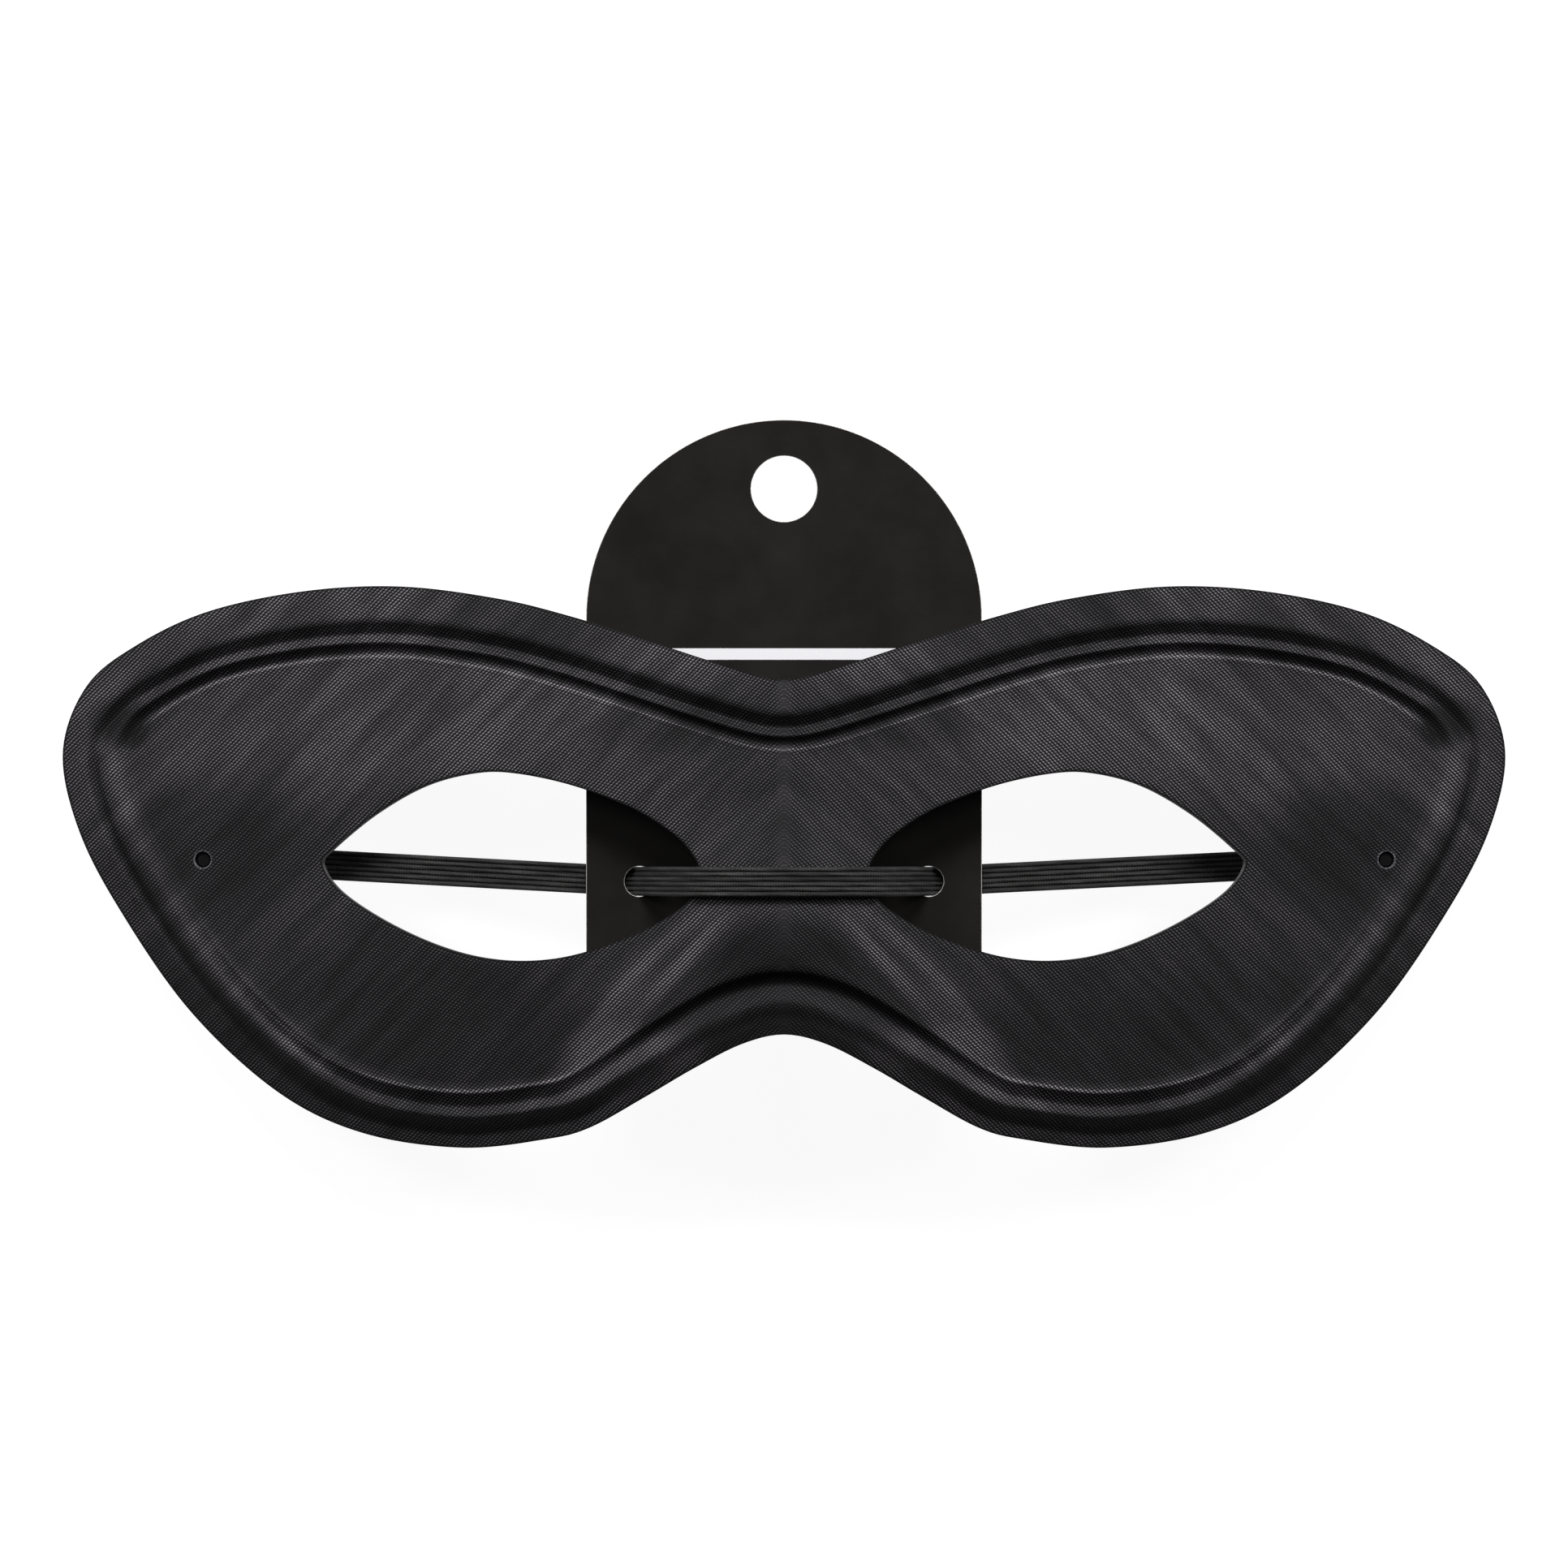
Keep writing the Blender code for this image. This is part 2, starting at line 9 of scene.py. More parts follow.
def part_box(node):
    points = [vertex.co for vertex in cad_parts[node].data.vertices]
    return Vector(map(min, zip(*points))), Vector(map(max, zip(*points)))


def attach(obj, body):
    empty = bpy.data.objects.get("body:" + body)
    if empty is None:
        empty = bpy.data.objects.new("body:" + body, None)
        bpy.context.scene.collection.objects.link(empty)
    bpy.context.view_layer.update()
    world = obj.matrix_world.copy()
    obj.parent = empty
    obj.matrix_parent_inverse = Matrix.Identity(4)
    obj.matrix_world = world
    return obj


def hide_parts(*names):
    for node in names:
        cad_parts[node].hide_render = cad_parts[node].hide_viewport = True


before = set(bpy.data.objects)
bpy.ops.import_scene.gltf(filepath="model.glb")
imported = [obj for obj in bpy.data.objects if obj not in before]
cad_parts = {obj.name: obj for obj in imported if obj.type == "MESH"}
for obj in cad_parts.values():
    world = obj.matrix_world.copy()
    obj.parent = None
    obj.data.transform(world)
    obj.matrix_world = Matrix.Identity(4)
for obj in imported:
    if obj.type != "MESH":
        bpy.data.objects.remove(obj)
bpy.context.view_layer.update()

# The pressed mask
# One sheet of black satin-faced cloth glued to stiff felt and pressed hot over a form: a
# flat flange and a groove along the cut edge, a raised bead, then a smooth panel with two
# almond eye holes and a nose. The wall is one sheet thick and the back shows plain felt.
MASK_WIDTH = 0.229
MASK_HEIGHT = 0.0888
WALL = 0.0013
BOW_HEIGHT = 0.021
BOW_REACH = 0.104
TEMPLE_ROUNDING = 0.003
DOME_DROP = 0.0045
DOME_HALF_SPAN = 0.045
NOSE_HEIGHT = 0.0058
NOSE_START_ABOVE_EYES = 0.0120
NOSE_FULL_BELOW_EYES = 0.0105
NOSE_FOOT_BELOW_EYES = 0.0275
NOSE_TOP_HALF_WIDTH = 0.009
NOSE_FOOT_HALF_WIDTH = 0.026
NOSE_SQUARENESS = 2.4
BAND_WIDTH = 0.0114
BEAD_HEIGHT = 0.0016
PANEL_RISE = 0.0011
TEMPLE_RECESS = 0.0012
TEMPLE_RECESS_INSET = 0.0265
TEMPLE_RECESS_DROP = 0.0175
TEMPLE_RECESS_WIDTH = 0.0263
TEMPLE_RECESS_HEIGHT = 0.0142
PIN_DIMPLE = 0.0008
PIN_DIMPLE_RADIUS = 0.0114
PIN_UP = 0.0455
PIN_INSET_LEFT = 0.0224
PIN_INSET_RIGHT = 0.0190
EYE_WIDTH = 0.0596
EYE_HEIGHT = 0.0298
EYE_SPACING = 0.0864
EYE_LINE_UP = 0.0449

# Half of the cut edge, from the middle of the brow round to the nose arch: across and up
# as shares of half the width and of the height, and how the edge is pressed there: 0 on
# the brow, 1 on the side, 2 under the cheek and 3 at the nose.
CUT_EDGE = (
    (0.000, 0.833, 0.0),
    (0.036, 0.840, 0.0),
    (0.107, 0.868, 0.0),
    (0.192, 0.904, 0.0),
    (0.293, 0.945, 0.0),
    (0.394, 0.977, 0.0),
    (0.529, 0.999, 0.0),
    (0.664, 0.991, 0.0),
    (0.798, 0.955, 0.0),
    (0.899, 0.894, 0.1),
    (0.967, 0.822, 0.3),
    (1.000, 0.706, 0.9),
    (0.979, 0.569, 1.0),
    (0.922, 0.425, 1.1),
    (0.823, 0.243, 1.3),
    (0.701, 0.099, 1.6),
    (0.583, 0.026, 1.9),
    (0.445, 0.000, 2.0),
    (0.327, 0.016, 2.0),
    (0.267, 0.037, 2.1),
    (0.192, 0.091, 2.4),
    (0.125, 0.142, 2.7),
    (0.058, 0.186, 3.0),
    (0.000, 0.203, 3.0),
)

# Rows of the pressed edge, from the cut inwards. Each has its inset as a share of the
# band's width on brow, side, cheek and nose, its height there as a share of the bead's,
# and how far the panel's own form has set in.
PRESSED_ROWS = (
    (0.000, 0.000, 0.000, 0.000, 0.00, -0.54, 0.00, -1.40, 0.0),
    (0.250, 0.200, 0.110, 0.080, 0.08, -0.18, 0.02, -0.80, 0.0),
    (0.460, 0.300, 0.190, 0.150, 0.03, 0.00, 0.00, -0.30, 0.0),
    (0.565, 0.370, 0.250, 0.220, -0.45, -0.20, 0.22, 0.25, 0.0),
    (0.670, 0.440, 0.320, 0.300, -0.95, -0.25, 0.58, 0.75, 0.0),
    (0.715, 0.520, 0.390, 0.380, -0.55, 0.25, 0.92, 0.95, 0.1),
    (0.762, 0.600, 0.440, 0.470, 0.00, 0.85, 1.00, 0.90, 0.2),
    (0.800, 0.690, 0.500, 0.580, -0.10, 1.00, 0.65, 0.30, 0.3),
    (0.855, 0.780, 0.565, 0.680, -0.60, 0.75, 0.05, -0.60, 0.4),
    (0.932, 0.850, 0.660, 0.800, -0.92, 0.38, 0.12, -0.70, 0.7),
    (0.956, 0.900, 0.745, 0.860, -0.50, 0.14, 0.30, -0.35, 1.0),
    (0.975, 0.940, 0.780, 0.900, -0.02, 0.02, 0.34, -0.15, 1.0),
    (1.000, 0.980, 0.830, 0.960, 0.00, 0.00, 0.02, -0.05, 1.0),
)

# An eye hole from its outer corner over the top to the inner corner and back below, as
# shares of its width and height.
EYE_CUT = (
    (0.000, 0.000),
    (0.030, 0.080),
    (0.144, 0.265),
    (0.274, 0.412),
    (0.403, 0.480),
    (0.510, 0.480),
    (0.662, 0.416),
    (0.821, 0.297),
    (0.930, 0.162),
    (0.982, 0.052),
    (1.000, -0.030),
    (0.992, -0.125),
    (0.966, -0.211),
    (0.884, -0.319),
    (0.793, -0.401),
    (0.662, -0.485),
    (0.532, -0.515),
    (0.403, -0.489),
    (0.274, -0.407),
    (0.144, -0.278),
    (0.043, -0.136),
)
CUT_EDGE_STEPS = 230
CUT_EDGE_FINE = 24
EYE_CUT_FINE = 16
ROW_STEPS = 4
NOSE_LINE_STEPS = 40
PANEL_ROWS = 20


def ease(value):
    t = min(max(value, 0.0), 1.0)
    return t * t * (3.0 - 2.0 * t)


def drawn_curve(points, closed, steps):
    """A smooth curve through a few rows of numbers."""
    count = len(points)
    curve = []
    for span in range(count if closed else count - 1):
        if closed:
            near = [points[(span + k) % count] for k in (-1, 0, 1, 2)]
        else:
            near = [points[min(max(span + k, 0), count - 1)] for k in (-1, 0, 1, 2)]
        for step in range(steps):
            t = step / steps
            curve.append(tuple(
                0.5 * (2.0 * b + (c - a) * t + (2.0 * a - 5.0 * b + 4.0 * c - d) * t * t
                       + (3.0 * b - a - 3.0 * c + d) * t ** 3)
                for a, b, c, d in zip(*near)))
    if not closed:
        curve.append(tuple(points[-1]))
    return curve


def in_equal_steps(curve, steps):
    run = [0.0]
    for a, b in zip(curve, curve[1:]):
        run.append(run[-1] + math.hypot(b[0] - a[0], b[1] - a[1]))
    points = []
    span = 0
    for step in range(steps + 1):
        target = run[-1] * step / steps
        while span < len(curve) - 2 and run[span + 1] < target:
            span += 1
        t = (target - run[span]) / (run[span + 1] - run[span])
        points.append(tuple(a + (b - a) * t for a, b in zip(curve[span], curve[span + 1])))
    return points


def mask_form(x, y):
    """Height of the pressed form: the bow round the face, its dome and the nose."""
    fall = BOW_HEIGHT * (1.0 - (x / BOW_REACH) ** 2)
    bow = 0.5 * (fall + math.hypot(fall, TEMPLE_ROUNDING))
    lean = (y - EYE_LINE_UP) / DOME_HALF_SPAN
    dome = -DOME_DROP * lean * lean * bow / BOW_HEIGHT
    down = EYE_LINE_UP + NOSE_START_ABOVE_EYES - y
    rise = ease(down / (NOSE_START_ABOVE_EYES + NOSE_FULL_BELOW_EYES))
    spread = ease(down / (NOSE_START_ABOVE_EYES + NOSE_FOOT_BELOW_EYES))
    half_width = NOSE_TOP_HALF_WIDTH + (NOSE_FOOT_HALF_WIDTH - NOSE_TOP_HALF_WIDTH) * spread
    nose = NOSE_HEIGHT * rise * math.exp(-(abs(x) / half_width) ** NOSE_SQUARENESS)
    return bow + dome + nose


def panel_form(x, y):
    """Height of the panel over the form: its rise, less the hollows at temple and pin."""
    temple_x = (abs(x) - MASK_WIDTH / 2.0 + TEMPLE_RECESS_INSET) / TEMPLE_RECESS_WIDTH
    temple_y = (y - MASK_HEIGHT + TEMPLE_RECESS_DROP) / TEMPLE_RECESS_HEIGHT
    recess = TEMPLE_RECESS * math.exp(-temple_x ** 2 - temple_y ** 2)
    dimple_x = MASK_WIDTH / 2.0 - (PIN_INSET_LEFT + PIN_INSET_RIGHT + PIN_DIMPLE_RADIUS) / 2.0
    away = math.hypot(abs(x) - dimple_x, y - PIN_UP) / PIN_DIMPLE_RADIUS
    return PANEL_RISE - recess - PIN_DIMPLE * math.exp(-away ** 2)


def mask_front(x, y, high, panel):
    return Vector((x, y, WALL + mask_form(x, y) + high + panel * panel_form(x, y)))


def pressed_as(band, values):
    """A value at a place between brow, side, cheek and nose."""
    k = min(int(band), len(values) - 2)
    return values[k] + (values[k + 1] - values[k]) * (band - k)


def pressed_row(edge, row):
    """One row of the pressed edge as points of the mask's front."""
    points = []
    for i, (x, y, band) in enumerate(edge):
        before = edge[max(i - 1, 0)]
        after = edge[min(i + 1, len(edge) - 1)]
        along = Vector((after[0] - before[0], after[1] - before[1])).normalized()
        inset = BAND_WIDTH * pressed_as(band, row[0:4])
        high = BEAD_HEIGHT * pressed_as(band, row[4:8])
        if i == 0:
            points.append(mask_front(0.0, y - inset, high, row[8]))
        elif i == len(edge) - 1:
            points.append(mask_front(0.0, y + inset, high, row[8]))
        else:
            points.append(mask_front(x + along.y * inset, y - along.x * inset, high, row[8]))
    return points


def eye_edge(outer):
    """The point of the eye hole's edge that lies inwards of each point given."""
    middle = Vector((EYE_SPACING / 2.0, EYE_LINE_UP))

    def turn(point):
        return math.atan2((point.y - middle.y) / EYE_HEIGHT, (point.x - middle.x) / EYE_WIDTH)

    ring = [Vector((middle.x + (0.5 - a) * EYE_WIDTH, middle.y + u * EYE_HEIGHT))
            for a, u in drawn_curve(EYE_CUT, True, EYE_CUT_FINE)]
    ring.sort(key=turn)
    turns = [turn(place) for place in ring]
    ring = [ring[-1]] + ring + [ring[0]]
    turns = [turns[-1] - 2.0 * math.pi] + turns + [turns[0] + 2.0 * math.pi]
    points = []
    for point in outer:
        wanted = turn(point)
        k = next(i for i in range(1, len(turns)) if turns[i] >= wanted)
        t = (wanted - turns[k - 1]) / (turns[k] - turns[k - 1])
        points.append(ring[k - 1].lerp(ring[k], t))
    return points


def start_row(bm, places, closed):
    row = [bm.verts.new(place) for place in places]
    for a, b in zip(row, row[1:]):
        bm.edges.new((a, b))
    if closed:
        bm.edges.new((row[-1], row[0]))
    return row


def pull_row(bm, row, places, closed):
    """Extrude a row of vertices to new places, and give the new row in the same order."""
    pairs = list(zip(row, row[1:]))
    if closed:
        pairs.append((row[-1], row[0]))
    made = bmesh.ops.extrude_edge_only(bm, edges=[bm.edges.get(pair) for pair in pairs])["geom"]
    by_place = {tuple(item.co): item for item in made if isinstance(item, bmesh.types.BMVert)}
    new_row = [by_place[tuple(vertex.co)] for vertex in row]
    for vertex, place in zip(new_row, places):
        vertex.co = place
    return new_row


def new_piece(name, bm, materials):
    mesh = bpy.data.meshes.new(name)
    bm.to_mesh(mesh)
    bm.free()
    mesh.shade_smooth()
    piece = bpy.data.objects.new(name, mesh)
    bpy.context.collection.objects.link(piece)
    for material in materials:
        mesh.materials.append(material)
    return piece


def new_material(name, roughness):
    """A new material with its shader and its node tree."""
    material = bpy.data.materials.new(name)
    material.use_nodes = True
    tree = material.node_tree
    shader = tree.nodes["Principled BSDF"]
    shader.inputs["Roughness"].default_value = roughness
    return material, tree, shader


def maths(tree, operation, first, second=None, third=None):
    """A Math node with its inputs set or linked, and its result."""
    node = tree.nodes.new("ShaderNodeMath")
    node.operation = operation
    for socket, value in zip(node.inputs, (first, second, third)):
        if isinstance(value, bpy.types.NodeSocket):
            tree.links.new(value, socket)
        elif value is not None:
            socket.default_value = value
    return node.outputs[0]


def noise(tree, vector, scale, detail, roughness=0.5):
    node = tree.nodes.new("ShaderNodeTexNoise")
    node.inputs["Scale"].default_value = scale
    node.inputs["Detail"].default_value = detail
    node.inputs["Roughness"].default_value = roughness
    tree.links.new(vector, node.inputs["Vector"])
    return node.outputs["Fac"]


def between(tree, factor, low, high):
    """A colour between two, by a factor."""
    node = tree.nodes.new("ShaderNodeMix")
    node.data_type = "RGBA"
    tree.links.new(factor, node.inputs["Factor"])
    for socket, value in ((node.inputs["A"], low), (node.inputs["B"], high)):
        if isinstance(value, bpy.types.NodeSocket):
            tree.links.new(value, socket)
        else:
            socket.default_value = (*value, 1.0)
    return node.outputs["Result"]


def bump(tree, shader, height, distance, strength):
    node = tree.nodes.new("ShaderNodeBump")
    node.inputs["Distance"].default_value = distance
    node.inputs["Strength"].default_value = strength
    tree.links.new(height, node.inputs["Height"])
    tree.links.new(node.outputs["Normal"], shader.inputs["Normal"])


def rising(tree, value, start, end, low, high):
    """A smooth change from low to high while the value goes from start to end."""
    node = tree.nodes.new("ShaderNodeMapRange")
    node.interpolation_type = "SMOOTHSTEP"
    tree.links.new(value, node.inputs["Value"])
    for name, number in (("From Min", start), ("From Max", end), ("To Min", low), ("To Max", high)):
        node.inputs[name].default_value = number
    return node.outputs["Result"]


def patch(tree, first, second, middle, reach, value):
    """1 all over, changing smoothly to the value within an oval patch."""
    wide = maths(tree, "MULTIPLY_ADD", first, 1.0 / reach[0], -middle[0] / reach[0])
    high = maths(tree, "MULTIPLY_ADD", second, 1.0 / reach[1], -middle[1] / reach[1])
    away = maths(tree, "ADD", maths(tree, "POWER", wide, 2.0), maths(tree, "POWER", high, 2.0))
    return rising(tree, away, 0.0, 1.0, value, 1.0)


CLOTH_PITCH = 0.00049
CLOTH_WANDER = 0.00022
CLOTH_WANDER_SCALE = 260.0
THREAD_SHARPNESS = 1.9
THREAD_GRAIN_SCALE = 2600.0
STREAK_SCALE = 320.0
STREAK_STRETCH = 0.16
CLOUD_SCALE = 55.0
CLOTH_GAP = (0.0016, 0.0016, 0.0020)
CLOTH_THREAD = (0.248, 0.230, 0.250)
CLOTH_THREAD_ROUGHNESS = 0.42
CLOTH_GAP_ROUGHNESS = 0.85
CLOTH_RELIEF = 0.00006
STREAK_RELIEF = 0.00035
# Painted light and shade: from the cheek level up to the brow level the cloth's colour goes from darker
# to lighter, painted shade on the cheeks and painted light on the brow.
CHEEK_LEVEL = -0.034
BROW_LEVEL = 0.010
CHEEK_PAINTED_SHADE = 0.42
BROW_PAINTED_LIGHT = 1.10
FRAYED_REACH = 0.00032
FRAYED_THREAD = (0.20, 0.19, 0.21)
MIRROR_ROUNDING = 0.00025
MIRROR_FADE = 0.0018
WEAVE_MEAN = 0.20

# Painted light and shade on the cloth's panel: the middle of an oval, its reach and how much lighter or
# darker the colour is painted there, as painted highlights, painted sheen and painted shade. Patches are
# given out from the nose and up, streaks along and across the slanting threads.
PAINTED_LIGHT_PATCHES = (
    ((0.0890, -0.0115), (0.0200, 0.0150), 0.38),
    ((0.0000, 0.0020), (0.0320, 0.0220), 0.66),
    ((0.0380, 0.0262), (0.0300, 0.0100), 0.50),
    ((0.1050, 0.0098), (0.0066, 0.0050), 0.18),
    ((0.0140, 0.0095), (0.0240, 0.0060), 0.62),
    ((0.0480, -0.0380), (0.0300, 0.0110), 0.85),
    ((0.0000, -0.0285), (0.0150, 0.0095), 0.40),
    ((0.0000, -0.0390), (0.0180, 0.0070), 0.75),
    ((0.0165, -0.0417), (0.0065, 0.0045), 1.70),
    ((0.0250, -0.0445), (0.0150, 0.0080), 2.10),
    ((0.0340, -0.0515), (0.0125, 0.0062), 1.90),
)
PAINTED_SHEEN_STREAKS = (
    ((-0.0380, -0.0066), (0.0210, 0.0050), 2.60),
    ((-0.0290, -0.0088), (0.0140, 0.0018), 1.80),
    ((-0.0300, -0.0064), (0.0120, 0.0012), 0.70),
    ((-0.0370, -0.0044), (0.0130, 0.0012), 1.50),
)

# The same painted light and shade for the pressed edge, painted shade in its grooves and painted
# highlights on its crests: inset from the cut, and the kind of edge as in CUT_EDGE.
PAINTED_EDGE_LIGHT_AND_SHADE = (
    ((0.0064, 0.0), (0.0018, 1.0), 0.50),
    ((0.0084, 0.0), (0.0010, 1.0), 0.75),
    ((0.0099, 0.1), (0.0012, 0.8), 0.55),
    ((0.0112, 0.0), (0.0004, 0.7), 2.40),
    ((0.0106, 0.5), (0.0026, 0.4), 0.35),
    ((0.0050, 1.2), (0.0013, 0.7), 0.50),
    ((0.0080, 1.3), (0.0028, 0.6), 1.80),
    ((0.0036, 2.0), (0.0018, 0.9), 0.35),
    ((0.0057, 1.9), (0.0012, 0.7), 1.00),
    ((0.0075, 2.0), (0.0014, 0.6), 1.90),
    ((0.0089, 2.0), (0.0004, 0.7), 4.20),
    ((0.0086, 3.0), (0.0018, 0.7), 0.60),
    ((0.0020, 2.6), (0.0024, 0.4), 1.60),
)
# How far in from each cut edge the cloth's colour is darkened, and how dark it is there.
CUT_REACH = 0.0005
CUT_EDGE_DARKENING = 0.12


def mask_cloth():
    """Black satin weave: dots of thread in slanting rows, mirrored about the nose, with painted sheen,
    painted highlights and painted shade over it.
    """
    material, tree, shader = new_material("mask_cloth", CLOTH_THREAD_ROUGHNESS)
    place = tree.nodes.new("ShaderNodeTexCoord").outputs["Object"]
    split = tree.nodes.new("ShaderNodeSeparateXYZ")
    tree.links.new(place, split.inputs["Vector"])
    square = maths(tree, "MULTIPLY_ADD", split.outputs["X"], split.outputs["X"], MIRROR_ROUNDING ** 2)
    out = maths(tree, "SQRT", square)
    up = split.outputs["Y"]
    along = maths(tree, "MULTIPLY", maths(tree, "SUBTRACT", up, out), math.sqrt(0.5))
    across = maths(tree, "MULTIPLY", maths(tree, "ADD", up, out), math.sqrt(0.5))
    wander = maths(tree, "SUBTRACT", noise(tree, place, CLOTH_WANDER_SCALE, 2.0), 0.5)
    across = maths(tree, "MULTIPLY_ADD", wander, CLOTH_WANDER, across)
    turn = 2.0 * math.pi / CLOTH_PITCH
    rows = maths(tree, "COSINE", maths(tree, "MULTIPLY", across, turn))
    half_across = maths(tree, "MULTIPLY", across, 0.5)
    stagger = maths(tree, "ADD", along, half_across)
    dots = maths(tree, "COSINE", maths(tree, "MULTIPLY", stagger, turn))
    rows = maths(tree, "POWER", maths(tree, "MULTIPLY_ADD", rows, 0.5, 0.5), THREAD_SHARPNESS)
    dots = maths(tree, "MULTIPLY_ADD", dots, 0.42, 0.54)
    fold = rising(tree, out, MIRROR_ROUNDING, MIRROR_FADE, 0.3, 1.0)
    weave = maths(tree, "SUBTRACT", maths(tree, "MULTIPLY", rows, dots), WEAVE_MEAN)
    weave = maths(tree, "MULTIPLY_ADD", weave, fold, WEAVE_MEAN)

    # The slanting streaks give the bump its ripples and paint the satin's sheen into the colour as
    # lighter and darker streaks.
    stretch = tree.nodes.new("ShaderNodeCombineXYZ")
    tree.links.new(maths(tree, "MULTIPLY", along, STREAK_STRETCH), stretch.inputs["X"])
    tree.links.new(across, stretch.inputs["Y"])
    streaks = noise(tree, stretch.outputs["Vector"], STREAK_SCALE, 2.5, 0.5)
    # Painted light and shade: lighter on the brow, darker on the cheeks, and lighter or darker in the
    # listed patches and streaks.
    painted_light_and_tone = rising(tree, up, CHEEK_LEVEL, BROW_LEVEL, CHEEK_PAINTED_SHADE, BROW_PAINTED_LIGHT)
    for middle, reach, value in PAINTED_LIGHT_PATCHES:
        painted_light_and_tone = maths(tree, "MULTIPLY", painted_light_and_tone, patch(tree, out, up, middle, reach, value))
    for middle, reach, value in PAINTED_SHEEN_STREAKS:
        painted_light_and_tone = maths(tree, "MULTIPLY", painted_light_and_tone, patch(tree, along, across, middle, reach, value))
    press = tree.nodes.new("ShaderNodeAttribute")
    press.attribute_name = "press"
    pressed = tree.nodes.new("ShaderNodeSeparateXYZ")
    tree.links.new(press.outputs["Vector"], pressed.inputs["Vector"])
    # Painted shade in the pressed edge's grooves and painted highlights on its crests and edge lines.
    for middle, reach, value in PAINTED_EDGE_LIGHT_AND_SHADE:
        band = patch(tree, pressed.outputs["X"], pressed.outputs["Y"], middle, reach, value)
        painted_light_and_tone = maths(tree, "MULTIPLY", painted_light_and_tone, band)
    # Darker within CUT_REACH of the outer cut and of the eye holes.
    for from_cut in (pressed.outputs["X"], pressed.outputs["Z"]):
        cut = rising(tree, from_cut, CUT_REACH / 5.0, CUT_REACH, CUT_EDGE_DARKENING, 1.0)
        painted_light_and_tone = maths(tree, "MULTIPLY", painted_light_and_tone, cut)
    clouds = maths(tree, "MULTIPLY_ADD", noise(tree, place, CLOUD_SCALE, 2.0), 1.4, 0.3)
    painted_light_and_tone = maths(tree, "MULTIPLY", painted_light_and_tone, clouds)
    light = maths(tree, "MULTIPLY", maths(tree, "MULTIPLY_ADD", streaks, 1.55, -0.02), painted_light_and_tone)
    grain = maths(tree, "ADD", noise(tree, place, THREAD_GRAIN_SCALE, 1.0), 0.5)
    factor = maths(tree, "MULTIPLY", weave, maths(tree, "MULTIPLY", light, grain))
    factor = maths(tree, "MAXIMUM", factor, 0.0)
    colour = between(tree, factor, CLOTH_GAP, CLOTH_THREAD)
    fluff = rising(tree, noise(tree, place, THREAD_GRAIN_SCALE, 2.0, 0.7), 0.42, 0.62, 0.15, 1.0)
    for pin_x, pin_up in PIN_PLACES:
        wide = maths(tree, "SUBTRACT", split.outputs["X"], pin_x)
        high = maths(tree, "SUBTRACT", up, pin_up + settle.y)
        squares = maths(tree, "ADD", maths(tree, "POWER", wide, 2.0), maths(tree, "POWER", high, 2.0))
        away = maths(tree, "SQRT", squares)
        frayed = rising(tree, away, PIN_HOLE / 2.0, PIN_HOLE / 2.0 + FRAYED_REACH, 1.0, 0.0)
        colour = between(tree, maths(tree, "MULTIPLY", frayed, fluff), colour, FRAYED_THREAD)
    tree.links.new(colour, shader.inputs["Base Color"])
    rough = maths(tree, "MULTIPLY_ADD", weave, CLOTH_THREAD_ROUGHNESS - CLOTH_GAP_ROUGHNESS,
                  CLOTH_GAP_ROUGHNESS)
    tree.links.new(rough, shader.inputs["Roughness"])
    shader.inputs["Specular IOR Level"].default_value = 0.15
    relief = maths(tree, "MULTIPLY", weave, CLOTH_RELIEF)
    relief = maths(tree, "MULTIPLY_ADD", streaks, STREAK_RELIEF, relief)
    bump(tree, shader, relief, 1.0, 1.0)
    return material


FELT_FIBRE_SCALE = 1500.0
FELT_TUFT_SCALE = 160.0
FELT_DARK = (0.004, 0.004, 0.004)
FELT_LIGHT = (0.030, 0.029, 0.031)


def mask_felt():
    """The felt of the back and of the cut edge: matted black fibres."""
    material, tree, shader = new_material("mask_felt", 0.95)
    place = tree.nodes.new("ShaderNodeTexCoord").outputs["Object"]
    fibres = noise(tree, place, FELT_FIBRE_SCALE, 6.0, 0.7)
    tufts = noise(tree, place, FELT_TUFT_SCALE, 3.0)
    factor = maths(tree, "MULTIPLY", fibres, maths(tree, "MULTIPLY_ADD", tufts, 1.2, 0.3))
    tree.links.new(between(tree, factor, FELT_DARK, FELT_LIGHT), shader.inputs["Base Color"])
    shader.inputs["Specular IOR Level"].default_value = 0.2
    shader.inputs["Sheen Weight"].default_value = 0.15
    bump(tree, shader, fibres, 0.0003, 0.6)
    return material


PIN_HOLE = 0.0026
PIN_PLACES = (
    (PIN_INSET_LEFT - MASK_WIDTH / 2.0, PIN_UP),
    (MASK_WIDTH / 2.0 - PIN_INSET_RIGHT, PIN_UP),
)
bm = bmesh.new()
past_brow = (-CUT_EDGE[1][0], *CUT_EDGE[1][1:])
past_nose = (-CUT_EDGE[-2][0], *CUT_EDGE[-2][1:])
share_rows = [past_brow, *CUT_EDGE, past_nose]
cut_edge = [(a * MASK_WIDTH / 2.0, u * MASK_HEIGHT, band)
            for a, u, band in drawn_curve(share_rows, False, CUT_EDGE_FINE)[CUT_EDGE_FINE:-CUT_EDGE_FINE]]
cut_edge = in_equal_steps(cut_edge, CUT_EDGE_STEPS)
press_layer = bm.verts.layers.float_vector.new("press")
row = None
